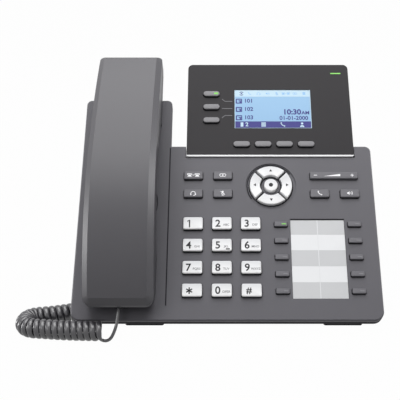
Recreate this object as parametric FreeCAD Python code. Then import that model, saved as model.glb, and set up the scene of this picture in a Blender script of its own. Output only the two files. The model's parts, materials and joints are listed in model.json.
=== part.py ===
"""Desk telephone: wedge body on a desk stand, arched handset in a side cradle, curly handset cord.

Panel axes are used for most pieces: x across the panel, y up along it, z straight out of its face,
with zero at the panel's lower front edge. One placement then tilts the panel up from the table.
"""
import FreeCAD
import Part
import math
import os
from FreeCAD import Vector

# Stance
TILT_DEG = 45.0
PANEL_EDGE_HEIGHT = 10.5

# Body outline
BODY_WIDTH = 208.0
HALF_WIDTH = BODY_WIDTH / 2
PANEL_HEIGHT = 130.8
COLUMN_WIDTH = 63.4
COLUMN_EDGE = COLUMN_WIDTH - HALF_WIDTH
COLUMN_HEIGHT = 169.8
HANDSET_X = 33.1 - HALF_WIDTH
LOWER_CORNER_R = 6.6
PANEL_CORNER_R = 4.2
COLUMN_CORNER_R = 3.7
RIM_DEPTH = 7.4
FRONT_EDGE = 0.8
SKIN = 2.2
WALL = 2.0
GROOVE_WIDTH = 0.8
GROOVE_DEPTH = 0.6
GROOVE_LOW_END = 10.3

# Rear housing
REAR_INSET = 4.0
REAR_DEPTH = 20.0
REAR_EDGE_R = 2.5
REAR_CORNER_R = 6.0
LAP = 2.0
LAP_CLEAR = 0.15
TONGUE_WIDTH = 64.0
TONGUE_TOP = 166.0
TONGUE_DEPTH = 16.0
TONGUE_TAPER = 7.0
CORD_BAY_X = HANDSET_X + 0.9
CORD_BAY_TOP = 48.0
KEYHOLE_SPACING = 83.0
KEYHOLE_Y = 84.0
KEYHOLE_HEAD_R = 4.2
KEYHOLE_NECK_R = 2.1
KEYHOLE_RISE = 9.0
VENT_COUNT = 6
VENT_PITCH = 6.0
VENT_LENGTH = 26.0
VENT_WIDTH = 2.0
VENT_Y = 84.0

# Screws
SCREW_LOW_Y = 9.5
SCREW_HIGH_Y = 115.0
SCREW_COLUMN_X = COLUMN_EDGE + 5.6
SCREW_SIDE_X = HALF_WIDTH - 11.5
SCREW_SPOTS = [
    (SCREW_COLUMN_X, SCREW_LOW_Y),
    (SCREW_COLUMN_X, SCREW_HIGH_Y),
    (SCREW_SIDE_X, SCREW_LOW_Y),
    (SCREW_SIDE_X, SCREW_HIGH_Y),
    (42.0 - HALF_WIDTH, 12.0),
    (11.0 - HALF_WIDTH, 130.0),
]
BOSS_R = 2.6
POST_R = 4.2
SCREW_R = 1.15
SCREW_PILOT_R = 1.25
SCREW_HOLE_R = 1.7
SCREW_HEAD_R = 2.6
SCREW_HEAD_H = 1.8
SCREW_HEAD_CLEAR = 0.3
SCREW_SEAT_DEPTH = 4.0
SCREW_TIP_CLEAR = 0.5

# Screen head
SCREEN_X = (-29.2, 91.7)
SCREEN_Y = (121.9, 200.6)
SCREEN_RISE = 1.0
SCREEN_DEPTH = 8.5
SCREEN_CORNER_R = 3.7
SCREEN_CHIN_R = 1.6
SCREEN_SIDE_RIM = 0.6
SCREEN_CHIN = 2.2
SCREEN_NOTCH_CLEAR = 0.5
LENS_THICK = 2.0
LENS_CLEAR = 0.15
TRAY_LEDGE = 2.0
TRAY_FLOOR = 2.0
WINDOW_X = (5.75, 62.4)
WINDOW_Y = (145.3, 178.3)
LCD_MARGIN = 3.5
LCD_BOARD_THICK = 1.5
LCD_LENS_GAP = 0.05

# Keys: plan sizes, then places
KEY_CLEAR = 0.4
KEY_STOP_GAP = 0.3
KEY_FLANGE = 0.8
KEY_FLANGE_T = 1.0
KEY_TRAVEL = 1.2
KEY_EDGE = 0.5
DIAL_KEY = (13.5, 9.1)
DIAL_CUT = 0.8
DIAL_RISE = 2.4
DIAL_X = (-23.6, -3.65, 16.3)
DIAL_Y = (69.05, 52.9, 36.7, 20.5)
DIAL_NAMES = ("1", "2", "3", "4", "5", "6", "7", "8", "9", "star", "0", "hash")
FUNCTION_KEY = (13.2, 6.1)
FUNCTION_CUT = 0.8
FUNCTION_RISE = 2.0
FUNCTION_SPOTS = {
    "transfer_key": (-23.9, 106.3),
    "message_key": (-3.0, 106.3),
    "headset_key": (-23.9, 92.1),
    "mute_key": (-3.0, 92.1),
    "call_key": (65.4, 92.1),
    "speaker_key": (86.5, 92.1),
}
MEMORY_KEY = (9.1, 3.6)
MEMORY_RISE = 1.7
MEMORY_CUT = 0.5
MEMORY_X = {"left": 37.25, "right": 88.2}
MEMORY_TOP_Y = 68.7
MEMORY_PITCH = 12.16
MEMORY_ROWS = 5
ROCKER = (34.0, 5.2)
ROCKER_SPOT = (76.0, 106.2)
ROCKER_RISE = 2.0
ROCKER_CUT = 0.8
ROCKER_PIVOT_LENGTH = 5.0
PILL_KEY = (12.0, 4.35)
PILL_RISE = 1.8
PILL_END_FLAT = 0.1
LINE_X = -11.4
LINE_Y = (174.1, 162.8, 151.5)
SOFT_X = (10.7, 26.25, 41.75, 57.4)
SOFT_Y = 131.45
NAV_SPOT = (31.1, 98.6)
NAV_OUTER_R = 14.9
NAV_INNER_R = 7.8
NAV_GAP = 1.9
NAV_RECESS_R = 18.0
NAV_RECESS_DEPTH = 0.9
NAV_RISE = 1.9
OK_R = 4.8
OK_RISE = 2.1

# Label card
LABEL_X = (43.8, 81.4)
LABEL_Y = (15.1, 73.25)
LABEL_RECESS = 0.9
CARD_THICK = 0.5
CARD_CLEAR = 0.2

# Boards and loudspeaker
BOARD_X = (COLUMN_EDGE + 1.6, HALF_WIDTH - 8.5)
BOARD_Y = (14.0, 110.0)
BOARD_THICK = 1.6
MAT_THICK = 1.8
MAT_INSET = 1.0
STANDOFF_R = 2.2
STANDOFF_INSET = 6.0
SPEAKER_SPOT = (HANDSET_X, 85.4)
SPEAKER_R = 20.0
SPEAKER_FRAME = 2.4
SPEAKER_MAGNET_R = 11.0
SPEAKER_MAGNET = 7.0
GRILLE_R = 22.4
GRILLE_DEPTH = 0.6
GRILLE_SLOTS = 7
GRILLE_PITCH = 4.4
GRILLE_SLOT = 1.8
GRILLE_SLOT_REACH = 17.7

# Handset, side profile as (y, z) in panel axes
HANDSET_WIDTH = 46.0
HANDSET_CHAMFER = 3.6
HANDSET_REST_GAP = 0.3
HANDSET_LOW_END = 5.7
HANDSET_HIGH_END = 197.7
HANDSET_BEVEL_BASE = 15.0
HANDSET_TOP_START = (8.7, 20.0)
HANDSET_TOP_RISE = (60.0, 38.4)
HANDSET_TOP_CREST = (110.0, 39.6)
HANDSET_TOP_FALL = (140.0, 31.4)
HANDSET_TOP_END = (193.0, 18.6)
HANDSET_HIGH_CHAMFER = 5.0
HANDSET_ARCH_CREST = (96.0, 22.0)
HANDSET_ARCH_SPRING = 5.0
HANDSET_MOUTH_Y = (13.0, 45.0)
HANDSET_LOW_LIP = 12.0
EAR_Y = 147.3
EAR_END_Y = 190.0
EAR_HALF_WIDTH = 20.4
EAR_CLEAR = 0.6
EAR_RECESS = 4.5
EAR_CORNER_R = 6.0
PARTING = ((0.0, 8.0), (92.0, 30.5), (152.0, 15.0), (205.0, 7.5))
SOUND_SLOT = (12.0, 1.8)
SOUND_SLOT_PITCH = 4.0
SOUND_SLOTS = 3
SOUND_SLOT_DEPTH = 3.0
EAR_SOUND_Y = 170.0
MOUTH_SOUND_Y = 30.0

# Hook plunger
PLUNGER = (8.0, 4.0)
PLUNGER_SPOT = (HANDSET_X, 157.0)
PLUNGER_TRAVEL = 3.0
PLUNGER_FLANGE = 1.0
PLUNGER_FLANGE_T = 1.2

# Jacks: plan size, socket size
JACK_Y = 58.0
NET_JACK = (15.6, 13.2)
NET_SOCKET = (11.8, 8.4)
NET_JACK_X = (20.0, 40.0)
CORD_JACK = (10.4, 9.8)
CORD_SOCKET = (7.0, 6.4)
CORD_JACK_X = -20.0
POWER_JACK = (9.6, 11.0)
POWER_JACK_X = 60.0
POWER_SOCKET_R = 3.2
POWER_PIN_R = 0.95
SOCKET_DEPTH = 10.5
JACK_CLEAR = 0.3
PLUG_CLEAR = 0.2
PLUG_LENGTH = 13.0
BASE_PLUG_OUT = 11.0
HANDSET_PLUG_Z = 7.0
HANDSET_PLUG_END = 7.0

# Desk stand and feet
STAND_WIDTH = 120.0
STAND_GRIP = (88.0, 105.0)
STAND_PLATE = 4.5
STAND_FOOT_Y = (120.5, 128.5)
STAND_TAB = (11.0, 3.0)
STAND_TAB_X = 42.0
STAND_TAB_Y = 97.0
STAND_TAB_CLEAR = 0.3
STAND_RIB = 3.0
STAND_RIBS = 4
FOOT_HEIGHT = 1.5
FOOT_CUT = 1.0
FOOT_FRONT = (26.0, 5.0)
FOOT_REAR = (22.0, 6.0)
FOOT_FRONT_XS = (-56.0, 78.5)
FOOT_REAR_X = 44.0

# Curly cord: wire, coil, and the route of the coil's axis on the table
WIRE = 2.0
COIL_OUTER = 13.2
COIL_PITCH = 4.1
COIL_HIDDEN_PITCH = 5.6
COIL_LEAST_GAP = 0.5
COIL_FLOOR_GAP = 0.1
COIL_ROUTE = [
    (-86.0, -8.6, 0.0),
    (-134.3, -7.6, 9.4),
    (-134.3, 9.2, 9.4),
    (-98.0, 20.4, 22.0),
    (-77.0, 43.0, 22.0),
    (-34.0, 48.0, 0.0),
]
COIL_HIDDEN_FROM = 95.0
HANDSET_TAIL = [
    (-71.3, -8.5, 11.9),
    (-71.8, -8.6, 6.0),
    (-73.6, -5.6, 2.0),
    (-77.6, -1.8, 1.1),
    (-82.4, -0.9, 1.1),
]
BASE_TAIL = [(-27.5, 62.5, 1.1), (-23.5, 72.0, 4.5), (-20.5, 76.5, 11.5)]
TAIL_LEAD = 5.0
PLUG_RUN = 12.0

# Worked-out places
UNDER_SKIN = -SKIN
LENS_BACK = SCREEN_RISE - LENS_THICK
TRAY_INSIDE = TRAY_FLOOR - SCREEN_DEPTH
KEY_BOTTOM = KEY_STOP_GAP + KEY_FLANGE_T
MAT_TOP = UNDER_SKIN - KEY_BOTTOM - KEY_TRAVEL - KEY_STOP_GAP
BOARD_TOP = MAT_TOP - MAT_THICK
BOARD_BACK = BOARD_TOP - BOARD_THICK
LAP_TOP = LAP - RIM_DEPTH
REAR_INSIDE = WALL - REAR_DEPTH
EAR_FLOOR = -EAR_RECESS
EAR_PAD = EAR_FLOOR - WALL
THROUGH = 60.0


def rounded_wire(corners, z):
    """Closed wire at height z through corners (x, y, radius); a zero radius stays sharp."""
    count = len(corners)
    starts = []
    for i, (x, y, r) in enumerate(corners):
        here = Vector(x, y, z)
        back = Vector(corners[i - 1][0], corners[i - 1][1], z) - here
        ahead = Vector(corners[(i + 1) % count][0], corners[(i + 1) % count][1], z) - here
        starts.append(corner_arc(here, back, ahead, r))
    edges = []
    for i, (first, middle, last) in enumerate(starts):
        if middle is not None:
            edges.append(Part.Arc(first, middle, last).toShape())
        following = starts[(i + 1) % count][0]
        if (following - last).Length > 1e-6:
            edges.append(Part.makeLine(last, following))
    return Part.Wire(edges)


def corner_arc(here, back, ahead, radius):
    """Start, middle and end of the arc that rounds one corner."""
    if radius <= 0:
        return here, None, here
    back.normalize()
    ahead.normalize()
    half = back.getAngle(ahead) / 2
    reach = radius / math.tan(half)
    inward = back + ahead
    inward.normalize()
    centre = here + inward * (radius / math.sin(half))
    return here + back * reach, centre - inward * radius, here + ahead * reach


def prism(corners, low, high):
    """Upright solid on a rounded outline."""
    face = Part.Face(rounded_wire(corners, low))
    return face.extrude(Vector(0, 0, high - low))


def rect(x, y, width, height, radius=0.0):
    """Corners of a centred rectangle."""
    a, b = width / 2, height / 2
    return [(x - a, y - b, radius), (x + a, y - b, radius), (x + a, y + b, radius), (x - a, y + b, radius)]


def span(xs, ys, radius=0.0, grow=0.0):
    """Corners of a rectangle given by its two spans."""
    x, y = sum(xs) / 2, sum(ys) / 2
    return rect(x, y, xs[1] - xs[0] + 2 * grow, ys[1] - ys[0] + 2 * grow, radius)


def cut_rect(x, y, width, height, cut):
    """Rectangle with its corners cut off."""
    a, b = width / 2, height / 2
    return [
        (x - a + cut, y - b, 0), (x + a - cut, y - b, 0), (x + a, y - b + cut, 0), (x + a, y + b - cut, 0),
        (x + a - cut, y + b, 0), (x - a + cut, y + b, 0), (x - a, y + b - cut, 0), (x - a, y - b + cut, 0),
    ]


def disc(x, y, radius, low, high):
    """Upright cylinder between two heights."""
    return Part.makeCylinder(radius, high - low, Vector(x, y, low), Vector(0, 0, 1))


def edges_at(shape, z):
    """Edges that lie wholly at one height."""
    return [e for e in shape.Edges if all(abs(v.Z - z) < 1e-6 for v in e.Vertexes)]


def fuse_all(shapes):
    """One clean solid from several."""
    return shapes[0].multiFuse(shapes[1:]).removeSplitter()


def body_outline(inset, least=WALL / 4):
    """The body's outline, moved inwards by an inset, with corners no sharper than a least radius."""
    side = HALF_WIDTH - inset
    edge = COLUMN_EDGE - inset
    low, panel, column = inset, PANEL_HEIGHT - inset, COLUMN_HEIGHT - inset
    lower = max(LOWER_CORNER_R - inset, least)
    upper = max(PANEL_CORNER_R - inset, least)
    top = max(COLUMN_CORNER_R - inset, least)
    return [
        (-side, low, lower), (side, low, lower), (side, panel, upper),
        (edge, panel, 0), (edge, column, top), (-side, column, top),
    ]


def nav_sector(turn, clear):
    """Corners of one arrow key as a face, grown by a clearance."""
    x, y = NAV_SPOT
    ring = Part.makeCylinder(NAV_OUTER_R + clear, 1).cut(Part.makeCylinder(NAV_INNER_R - clear, 1))
    reach = NAV_OUTER_R * 2
    shift = (NAV_GAP / 2 - clear) * math.sqrt(2)
    wedge = prism([(0, shift, 0), (reach, reach + shift, 0), (-reach, reach + shift, 0)], 0, 1)
    sector = ring.common(wedge)
    sector.rotate(Vector(0, 0, 0), Vector(0, 0, 1), turn)
    sector.translate(Vector(x, y, 0))
    return [f for f in sector.Faces if abs(f.CenterOfMass.z) < 1e-6][0]


def stretched(face, low, high):
    """Solid made from a flat face at height zero."""
    moved = face.copy()
    moved.translate(Vector(0, 0, low))
    return moved.extrude(Vector(0, 0, high - low))


def key_solid(cap, flange, skin_under, top):
    """Key with a softened cap above and a retaining flange under the skin."""
    flange_top = skin_under - KEY_STOP_GAP
    stem = stretched(cap, flange_top, top)
    stem = stem.makeChamfer(KEY_EDGE, edges_at(stem, top))
    return stem.fuse(prism(flange, flange_top - KEY_FLANGE_T, flange_top)).removeSplitter()


def flat(corners):
    """Flat face at height zero on a rounded outline."""
    return Part.Face(rounded_wire(corners, 0))


def dial_spots():
    """Name and place of each dial key, row by row."""
    spots = [(x, y) for y in DIAL_Y for x in DIAL_X]
    return {"dial_key_" + name: spot for name, spot in zip(DIAL_NAMES, spots)}


def memory_spots():
    """Name and place of each memory key, down each side of the label card."""
    spots = {}
    for side, x in MEMORY_X.items():
        for row in range(MEMORY_ROWS):
            spots["memory_key_%s_%d" % (side, row + 1)] = (x, MEMORY_TOP_Y - row * MEMORY_PITCH)
    return spots


def screen_key_spots():
    """Name and place of each pill-shaped key on the screen head."""
    spots = {"line_key_%d" % (i + 1): (LINE_X, y) for i, y in enumerate(LINE_Y)}
    spots.update({"soft_key_%d" % (i + 1): (x, SOFT_Y) for i, x in enumerate(SOFT_X)})
    return spots


def nav_turns():
    """Name and turn of each arrow key."""
    return {"nav_up_key": 0, "nav_left_key": 90, "nav_down_key": 180, "nav_right_key": 270}


def grown(size, extra):
    """A plan size, larger by an extra on every side."""
    return size[0] + 2 * extra, size[1] + 2 * extra


def panel_keys():
    """Every pressing key on the panel and the solid that cuts its hole."""
    keys, holes = {}, []
    kinds = [(dial_spots(), DIAL_KEY, DIAL_CUT, DIAL_RISE)]
    kinds.append((FUNCTION_SPOTS, FUNCTION_KEY, FUNCTION_CUT, FUNCTION_RISE))
    kinds.append((memory_spots(), MEMORY_KEY, MEMORY_CUT, MEMORY_RISE))
    for spots, size, cut, rise in kinds:
        for name, (x, y) in spots.items():
            cap = flat(cut_rect(x, y, *size, cut))
            keys[name] = key_solid(cap, rect(x, y, *grown(size, KEY_FLANGE)), UNDER_SKIN, rise)
            holes.append(prism(cut_rect(x, y, *grown(size, KEY_CLEAR), cut), UNDER_SKIN - 1, 1))
    return keys, holes


def nav_keys():
    """Four arrow keys and the round confirm key in a dished ring."""
    keys, holes = {}, []
    skin_under = UNDER_SKIN - NAV_RECESS_DEPTH
    x, y = NAV_SPOT
    flange_top = skin_under - KEY_STOP_GAP
    lip = (NAV_GAP - KEY_CLEAR) / 2
    for name, turn in nav_turns().items():
        stem = stretched(nav_sector(turn, 0), flange_top, NAV_RISE)
        stem = stem.makeChamfer(KEY_EDGE, edges_at(stem, NAV_RISE))
        flange = stretched(nav_sector(turn, lip), flange_top - KEY_FLANGE_T, flange_top)
        keys[name] = stem.fuse(flange).removeSplitter()
        holes.append(stretched(nav_sector(turn, KEY_CLEAR), skin_under - 1, 1))
    stem = disc(x, y, OK_R, flange_top, OK_RISE)
    stem = stem.makeChamfer(KEY_EDGE, edges_at(stem, OK_RISE))
    flange = disc(x, y, OK_R + KEY_FLANGE, flange_top - KEY_FLANGE_T, flange_top)
    keys["ok_key"] = stem.fuse(flange).removeSplitter()
    holes.append(disc(x, y, OK_R + KEY_CLEAR, skin_under - 1, 1))
    return keys, holes


def volume_rocker():
    """Long rocker that tips about its middle, and its hole."""
    x, y = ROCKER_SPOT
    cap = flat(cut_rect(x, y, *ROCKER, ROCKER_CUT))
    low = UNDER_SKIN - KEY_STOP_GAP
    stem = stretched(cap, low, ROCKER_RISE)
    stem = stem.makeChamfer(KEY_EDGE, edges_at(stem, ROCKER_RISE))
    pivot = prism(rect(x, y, ROCKER_PIVOT_LENGTH, ROCKER[1] + 2 * KEY_FLANGE), low - KEY_FLANGE_T, low)
    hole = prism(cut_rect(x, y, *grown(ROCKER, KEY_CLEAR), ROCKER_CUT), UNDER_SKIN - 1, 1)
    return stem.fuse(pivot).removeSplitter(), hole


def ear_outline(grow):
    """Outline of the earpiece block, round at its lower corners, grown by a clearance."""
    xs = (HANDSET_X - EAR_HALF_WIDTH - grow, HANDSET_X + EAR_HALF_WIDTH + grow)
    low, high = EAR_Y - grow, HANDSET_HIGH_END + EAR_CORNER_R
    return [(xs[0], low, EAR_CORNER_R), (xs[1], low, EAR_CORNER_R), (xs[1], high, 0), (xs[0], high, 0)]


def ear_pad(grow):
    """Block under the skin that gives the earpiece's pocket its floor, grown by a clearance."""
    margin = EAR_CLEAR + WALL
    xs = (HANDSET_X - EAR_HALF_WIDTH - margin, HANDSET_X + EAR_HALF_WIDTH + margin)
    return prism(span(xs, (EAR_Y - margin, COLUMN_HEIGHT - WALL / 2), 0, grow), EAR_PAD - grow, UNDER_SKIN)


def grille_cut():
    """Shallow round dish with slots through it, in front of the loudspeaker."""
    x, y = SPEAKER_SPOT
    cuts = [disc(x, y, GRILLE_R, -GRILLE_DEPTH, 1)]
    for i in range(GRILLE_SLOTS):
        rise = (i - (GRILLE_SLOTS - 1) / 2) * GRILLE_PITCH
        length = 2 * math.sqrt(GRILLE_SLOT_REACH ** 2 - rise ** 2)
        cuts.append(prism(rect(x, y + rise, length, GRILLE_SLOT), UNDER_SKIN - 1, 1))
    return cuts


def screen_space():
    """Clear space that the screen head takes up in the panel's top edge."""
    xs = (SCREEN_X[0] - SCREEN_NOTCH_CLEAR, SCREEN_X[1] + SCREEN_NOTCH_CLEAR)
    ys = (SCREEN_Y[0] - SCREEN_NOTCH_CLEAR, SCREEN_Y[1] + SCREEN_NOTCH_CLEAR)
    return prism(span(xs, ys), -SCREEN_DEPTH, THROUGH)


def front_housing(key_holes):
    """Face of the body: thin skin with a rim, key holes, cradle, label recess and screw bosses."""
    shell = prism(body_outline(0), -RIM_DEPTH, 0)
    shell = shell.makeChamfer(FRONT_EDGE, edges_at(shell, 0))
    shell = shell.cut(prism(body_outline(WALL), -RIM_DEPTH - 1, UNDER_SKIN))
    pocket = prism(ear_outline(EAR_CLEAR), EAR_FLOOR, 1)
    nav_x, nav_y = NAV_SPOT
    nav_pad = disc(nav_x, nav_y, NAV_RECESS_R + WALL, UNDER_SKIN - NAV_RECESS_DEPTH, UNDER_SKIN)
    adds = [shell, ear_pad(0), nav_pad]
    adds += [disc(x, y, BOSS_R, LAP_TOP, UNDER_SKIN) for x, y in SCREW_SPOTS]
    shell = fuse_all(adds)
    groove = span((COLUMN_EDGE - GROOVE_WIDTH, COLUMN_EDGE), (GROOVE_LOW_END, COLUMN_HEIGHT))
    cuts = [pocket, screen_space(), disc(nav_x, nav_y, NAV_RECESS_R, -NAV_RECESS_DEPTH, 1)]
    cuts.append(prism(groove, -GROOVE_DEPTH, 1))
    cuts.append(prism(span(LABEL_X, LABEL_Y), -LABEL_RECESS, 1))
    cuts.append(prism(rect(*PLUNGER_SPOT, *grown(PLUNGER, KEY_CLEAR)), EAR_PAD - 1, 1))
    cuts += grille_cut()
    cuts += key_holes
    cuts += [disc(x, y, SCREW_PILOT_R, LAP_TOP - 1, UNDER_SKIN - SCREW_TIP_CLEAR) for x, y in SCREW_SPOTS]
    return shell.cut(Part.makeCompound(cuts)).removeSplitter()


def jack_spots():
    """Place and plan size of each jack in the rear wall."""
    spots = [(x, NET_JACK) for x in NET_JACK_X]
    spots.append((CORD_JACK_X, CORD_JACK))
    spots.append((POWER_JACK_X, POWER_JACK))
    return spots


def keyhole(x):
    """Wall-mount keyhole through the back."""
    low, high = -REAR_DEPTH - 1, REAR_INSIDE + 1
    head = disc(x, KEYHOLE_Y, KEYHOLE_HEAD_R, low, high)
    neck = prism(rect(x, KEYHOLE_Y + KEYHOLE_RISE / 2, 2 * KEYHOLE_NECK_R, KEYHOLE_RISE), low, high)
    end = disc(x, KEYHOLE_Y + KEYHOLE_RISE, KEYHOLE_NECK_R, low, high)
    return head.fuse(neck).fuse(end)


def rear_inside():
    """Hollow of the rear housing, which keeps off the cord bay's walls."""
    hollow = prism(body_outline(REAR_INSET + WALL, REAR_CORNER_R - WALL), REAR_INSIDE, THROUGH)
    bay = span((-HALF_WIDTH, CORD_BAY_X + WALL), (0, CORD_BAY_TOP + WALL))
    return hollow.cut(prism(bay, -THROUGH, THROUGH))


def rear_cuts():
    """Every opening that goes through the rear housing."""
    low, high = -REAR_DEPTH - 1, REAR_INSIDE + 1
    cuts = [prism(rect(x, JACK_Y, *grown(size, JACK_CLEAR)), low, high) for x, size in jack_spots()]
    tab = grown(STAND_TAB, STAND_TAB_CLEAR)
    for side in (-1, 1):
        cuts.append(keyhole(side * KEYHOLE_SPACING / 2))
        cuts.append(prism(rect(side * STAND_TAB_X, STAND_TAB_Y, *tab), low, high))
    seat = SCREW_SEAT_DEPTH - REAR_DEPTH
    for x, y in SCREW_SPOTS:
        cuts.append(disc(x, y, SCREW_HOLE_R, low, LAP_TOP + 1))
        cuts.append(disc(x, y, SCREW_HEAD_R + SCREW_HEAD_CLEAR, low, seat))
    for i in range(VENT_COUNT):
        rise = VENT_Y + i * VENT_PITCH
        cuts.append(prism(rect(SPEAKER_SPOT[0], rise, VENT_LENGTH, VENT_WIDTH), low, high))
    return cuts


def standoff_spots():
    """Corners of the main board that stand on posts."""
    xs = (BOARD_X[0] + STANDOFF_INSET, BOARD_X[1] - STANDOFF_INSET)
    ys = (BOARD_Y[0] + STANDOFF_INSET, BOARD_Y[1] - STANDOFF_INSET)
    return [(x, y) for x in xs for y in ys]


def screen_tongue():
    """Tapered block that carries the screen head from behind."""
    x = sum(WINDOW_X) / 2
    low = PANEL_HEIGHT - REAR_INSET - WALL
    wide = rect(x, (low + TONGUE_TOP) / 2, TONGUE_WIDTH, TONGUE_TOP - low)
    top = TONGUE_TOP - TONGUE_TAPER
    thin = rect(x, (low + top) / 2, TONGUE_WIDTH - 2 * TONGUE_TAPER, top - low)
    front = rounded_wire(wide, -SCREEN_DEPTH)
    back = rounded_wire(thin, -TONGUE_DEPTH)
    return Part.makeLoft([front, back], True, True)


def rear_housing():
    """Back of the body: a tub that laps into the front rim, with a bay for the cord and screw posts."""
    tub = prism(body_outline(REAR_INSET, REAR_CORNER_R), -REAR_DEPTH, -RIM_DEPTH)
    tub = tub.makeChamfer(REAR_EDGE_R, edges_at(tub, -REAR_DEPTH))
    bay = prism(span((-HALF_WIDTH, CORD_BAY_X), (0, CORD_BAY_TOP)), -THROUGH, -RIM_DEPTH)
    lap = prism(body_outline(WALL + LAP_CLEAR), -RIM_DEPTH, LAP_TOP)
    shell = fuse_all([tub.cut(bay), lap]).cut(rear_inside())
    adds = [shell, screen_tongue()]
    adds += [disc(x, y, POST_R, REAR_INSIDE, LAP_TOP) for x, y in SCREW_SPOTS]
    adds += [disc(x, y, STANDOFF_R, REAR_INSIDE, BOARD_BACK) for x, y in standoff_spots()]
    shell = fuse_all(adds)
    level = tilt(Part.makeBox(4 * HALF_WIDTH, THROUGH, THROUGH), inverse=True,
                 shift=Vector(-2 * HALF_WIDTH, -THROUGH / 4, FOOT_HEIGHT - THROUGH))
    cuts = rear_cuts() + [screen_space(), ear_pad(LAP_CLEAR), level]
    return shell.cut(Part.makeCompound(cuts)).removeSplitter()


def tilt(shape, inverse=False, shift=Vector(0, 0, 0)):
    """Panel axes to table axes, or a table-axes shape back to panel axes."""
    turn = FreeCAD.Rotation(Vector(1, 0, 0), TILT_DEG)
    place = FreeCAD.Placement(Vector(0, 0, PANEL_EDGE_HEIGHT), turn)
    moved = shape.copy()
    if inverse:
        moved.Placement = place.inverse().multiply(FreeCAD.Placement(shift, FreeCAD.Rotation()))
    else:
        moved.Placement = place.multiply(moved.Placement)
    return moved


def on_table(x, y, z):
    """A point given in panel axes, in table axes."""
    turn = FreeCAD.Rotation(Vector(1, 0, 0), TILT_DEG)
    return turn.multVec(Vector(x, y, z)) + Vector(0, 0, PANEL_EDGE_HEIGHT)


def housing_screws():
    """Screws that draw the rear housing on to the front bosses."""
    seat = SCREW_SEAT_DEPTH - REAR_DEPTH
    tip = UNDER_SKIN - 2 * SCREW_TIP_CLEAR
    screws = []
    for x, y in SCREW_SPOTS:
        head = disc(x, y, SCREW_HEAD_R, seat - SCREW_HEAD_H, seat)
        screws.append(head.fuse(disc(x, y, SCREW_R, seat, tip)).removeSplitter())
    return Part.makeCompound(screws)


def lens_span(grow):
    """Outline of the dark front plate, grown by a clearance."""
    xs = (SCREEN_X[0] + SCREEN_SIDE_RIM - grow, SCREEN_X[1] - SCREEN_SIDE_RIM + grow)
    ys = (SCREEN_Y[0] + SCREEN_CHIN - grow, SCREEN_Y[1] - SCREEN_SIDE_RIM + grow)
    low, high = SCREEN_SIDE_RIM, SCREEN_CORNER_R - SCREEN_SIDE_RIM
    return [(xs[0], ys[0], low), (xs[1], ys[0], low), (xs[1], ys[1], high), (xs[0], ys[1], high)]


def screen_frame():
    """Pale tray round the screen, deeper at its chin, with a ledge for the front plate."""
    xs, ys = SCREEN_X, SCREEN_Y
    low, high = SCREEN_CHIN_R, SCREEN_CORNER_R
    outline = [(xs[0], ys[0], low), (xs[1], ys[0], low), (xs[1], ys[1], high), (xs[0], ys[1], high)]
    tray = prism(outline, -SCREEN_DEPTH, SCREEN_RISE)
    rebate = prism(lens_span(LENS_CLEAR), LENS_BACK, SCREEN_RISE + 1)
    hollow = prism(lens_span(-TRAY_LEDGE), TRAY_INSIDE, LENS_BACK)
    return tray.cut(rebate).cut(hollow)


def screen_lens(key_holes):
    """Dark front plate with the display window and the holes of the pill keys."""
    plate = prism(lens_span(0), LENS_BACK, SCREEN_RISE)
    window = prism(span(WINDOW_X, WINDOW_Y), LENS_BACK - 1, SCREEN_RISE + 1)
    return plate.cut(Part.makeCompound(key_holes + [window]))


def lcd_module():
    """Display glass on its own board, which also stands behind the pill keys."""
    ys = (SOFT_Y - PILL_KEY[1], WINDOW_Y[1] + LCD_MARGIN)
    xs = (LINE_X - PILL_KEY[0] / 2, WINDOW_X[1] + LCD_MARGIN)
    board_top = TRAY_INSIDE + LCD_BOARD_THICK
    board = prism(span(xs, ys), TRAY_INSIDE, board_top)
    glass = prism(span(WINDOW_X, WINDOW_Y, 0, LCD_MARGIN), board_top, LENS_BACK - LCD_LENS_GAP)
    return board.fuse(glass).removeSplitter()


def screen_keys():
    """Pill keys of the screen head and their holes."""
    keys, holes = {}, []
    top = SCREEN_RISE + PILL_RISE
    for name, (x, y) in screen_key_spots().items():
        cap = flat(pill(x, y, PILL_KEY))
        keys[name] = key_solid(cap, rect(x, y, *grown(PILL_KEY, KEY_FLANGE)), LENS_BACK, top)
        holes.append(prism(pill(x, y, grown(PILL_KEY, KEY_CLEAR)), LENS_BACK - 1, SCREEN_RISE + 1))
    return keys, holes


def pill(x, y, size):
    """Outline with nearly half-round ends."""
    return rect(x, y, *size, (size[1] - PILL_END_FLAT) / 2)


def label_card():
    """Paper card for the memory keys' names."""
    return prism(span(LABEL_X, LABEL_Y, 0, -CARD_CLEAR), -LABEL_RECESS, CARD_THICK - LABEL_RECESS)


def main_board():
    """Circuit board under the keys."""
    return prism(span(BOARD_X, BOARD_Y), BOARD_BACK, BOARD_TOP)


def keypad_mat():
    """Rubber mat between board and keys, dished under the deeper arrow keys."""
    mat = prism(span(BOARD_X, BOARD_Y, 0, -MAT_INSET), BOARD_TOP, MAT_TOP)
    return mat.cut(disc(*NAV_SPOT, NAV_RECESS_R, MAT_TOP - NAV_RECESS_DEPTH, MAT_TOP + 1))


def loudspeaker():
    """Hands-free loudspeaker behind the cradle's grille."""
    x, y = SPEAKER_SPOT
    frame_back = UNDER_SKIN - SPEAKER_FRAME
    frame = disc(x, y, SPEAKER_R, frame_back, UNDER_SKIN)
    cone_back = Vector(x, y, frame_back - SPEAKER_FRAME)
    cone = Part.makeCone(SPEAKER_MAGNET_R, SPEAKER_R - WALL, SPEAKER_FRAME, cone_back)
    magnet = disc(x, y, SPEAKER_MAGNET_R, frame_back - SPEAKER_MAGNET, frame_back - SPEAKER_FRAME)
    return fuse_all([frame, cone, magnet])


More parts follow.
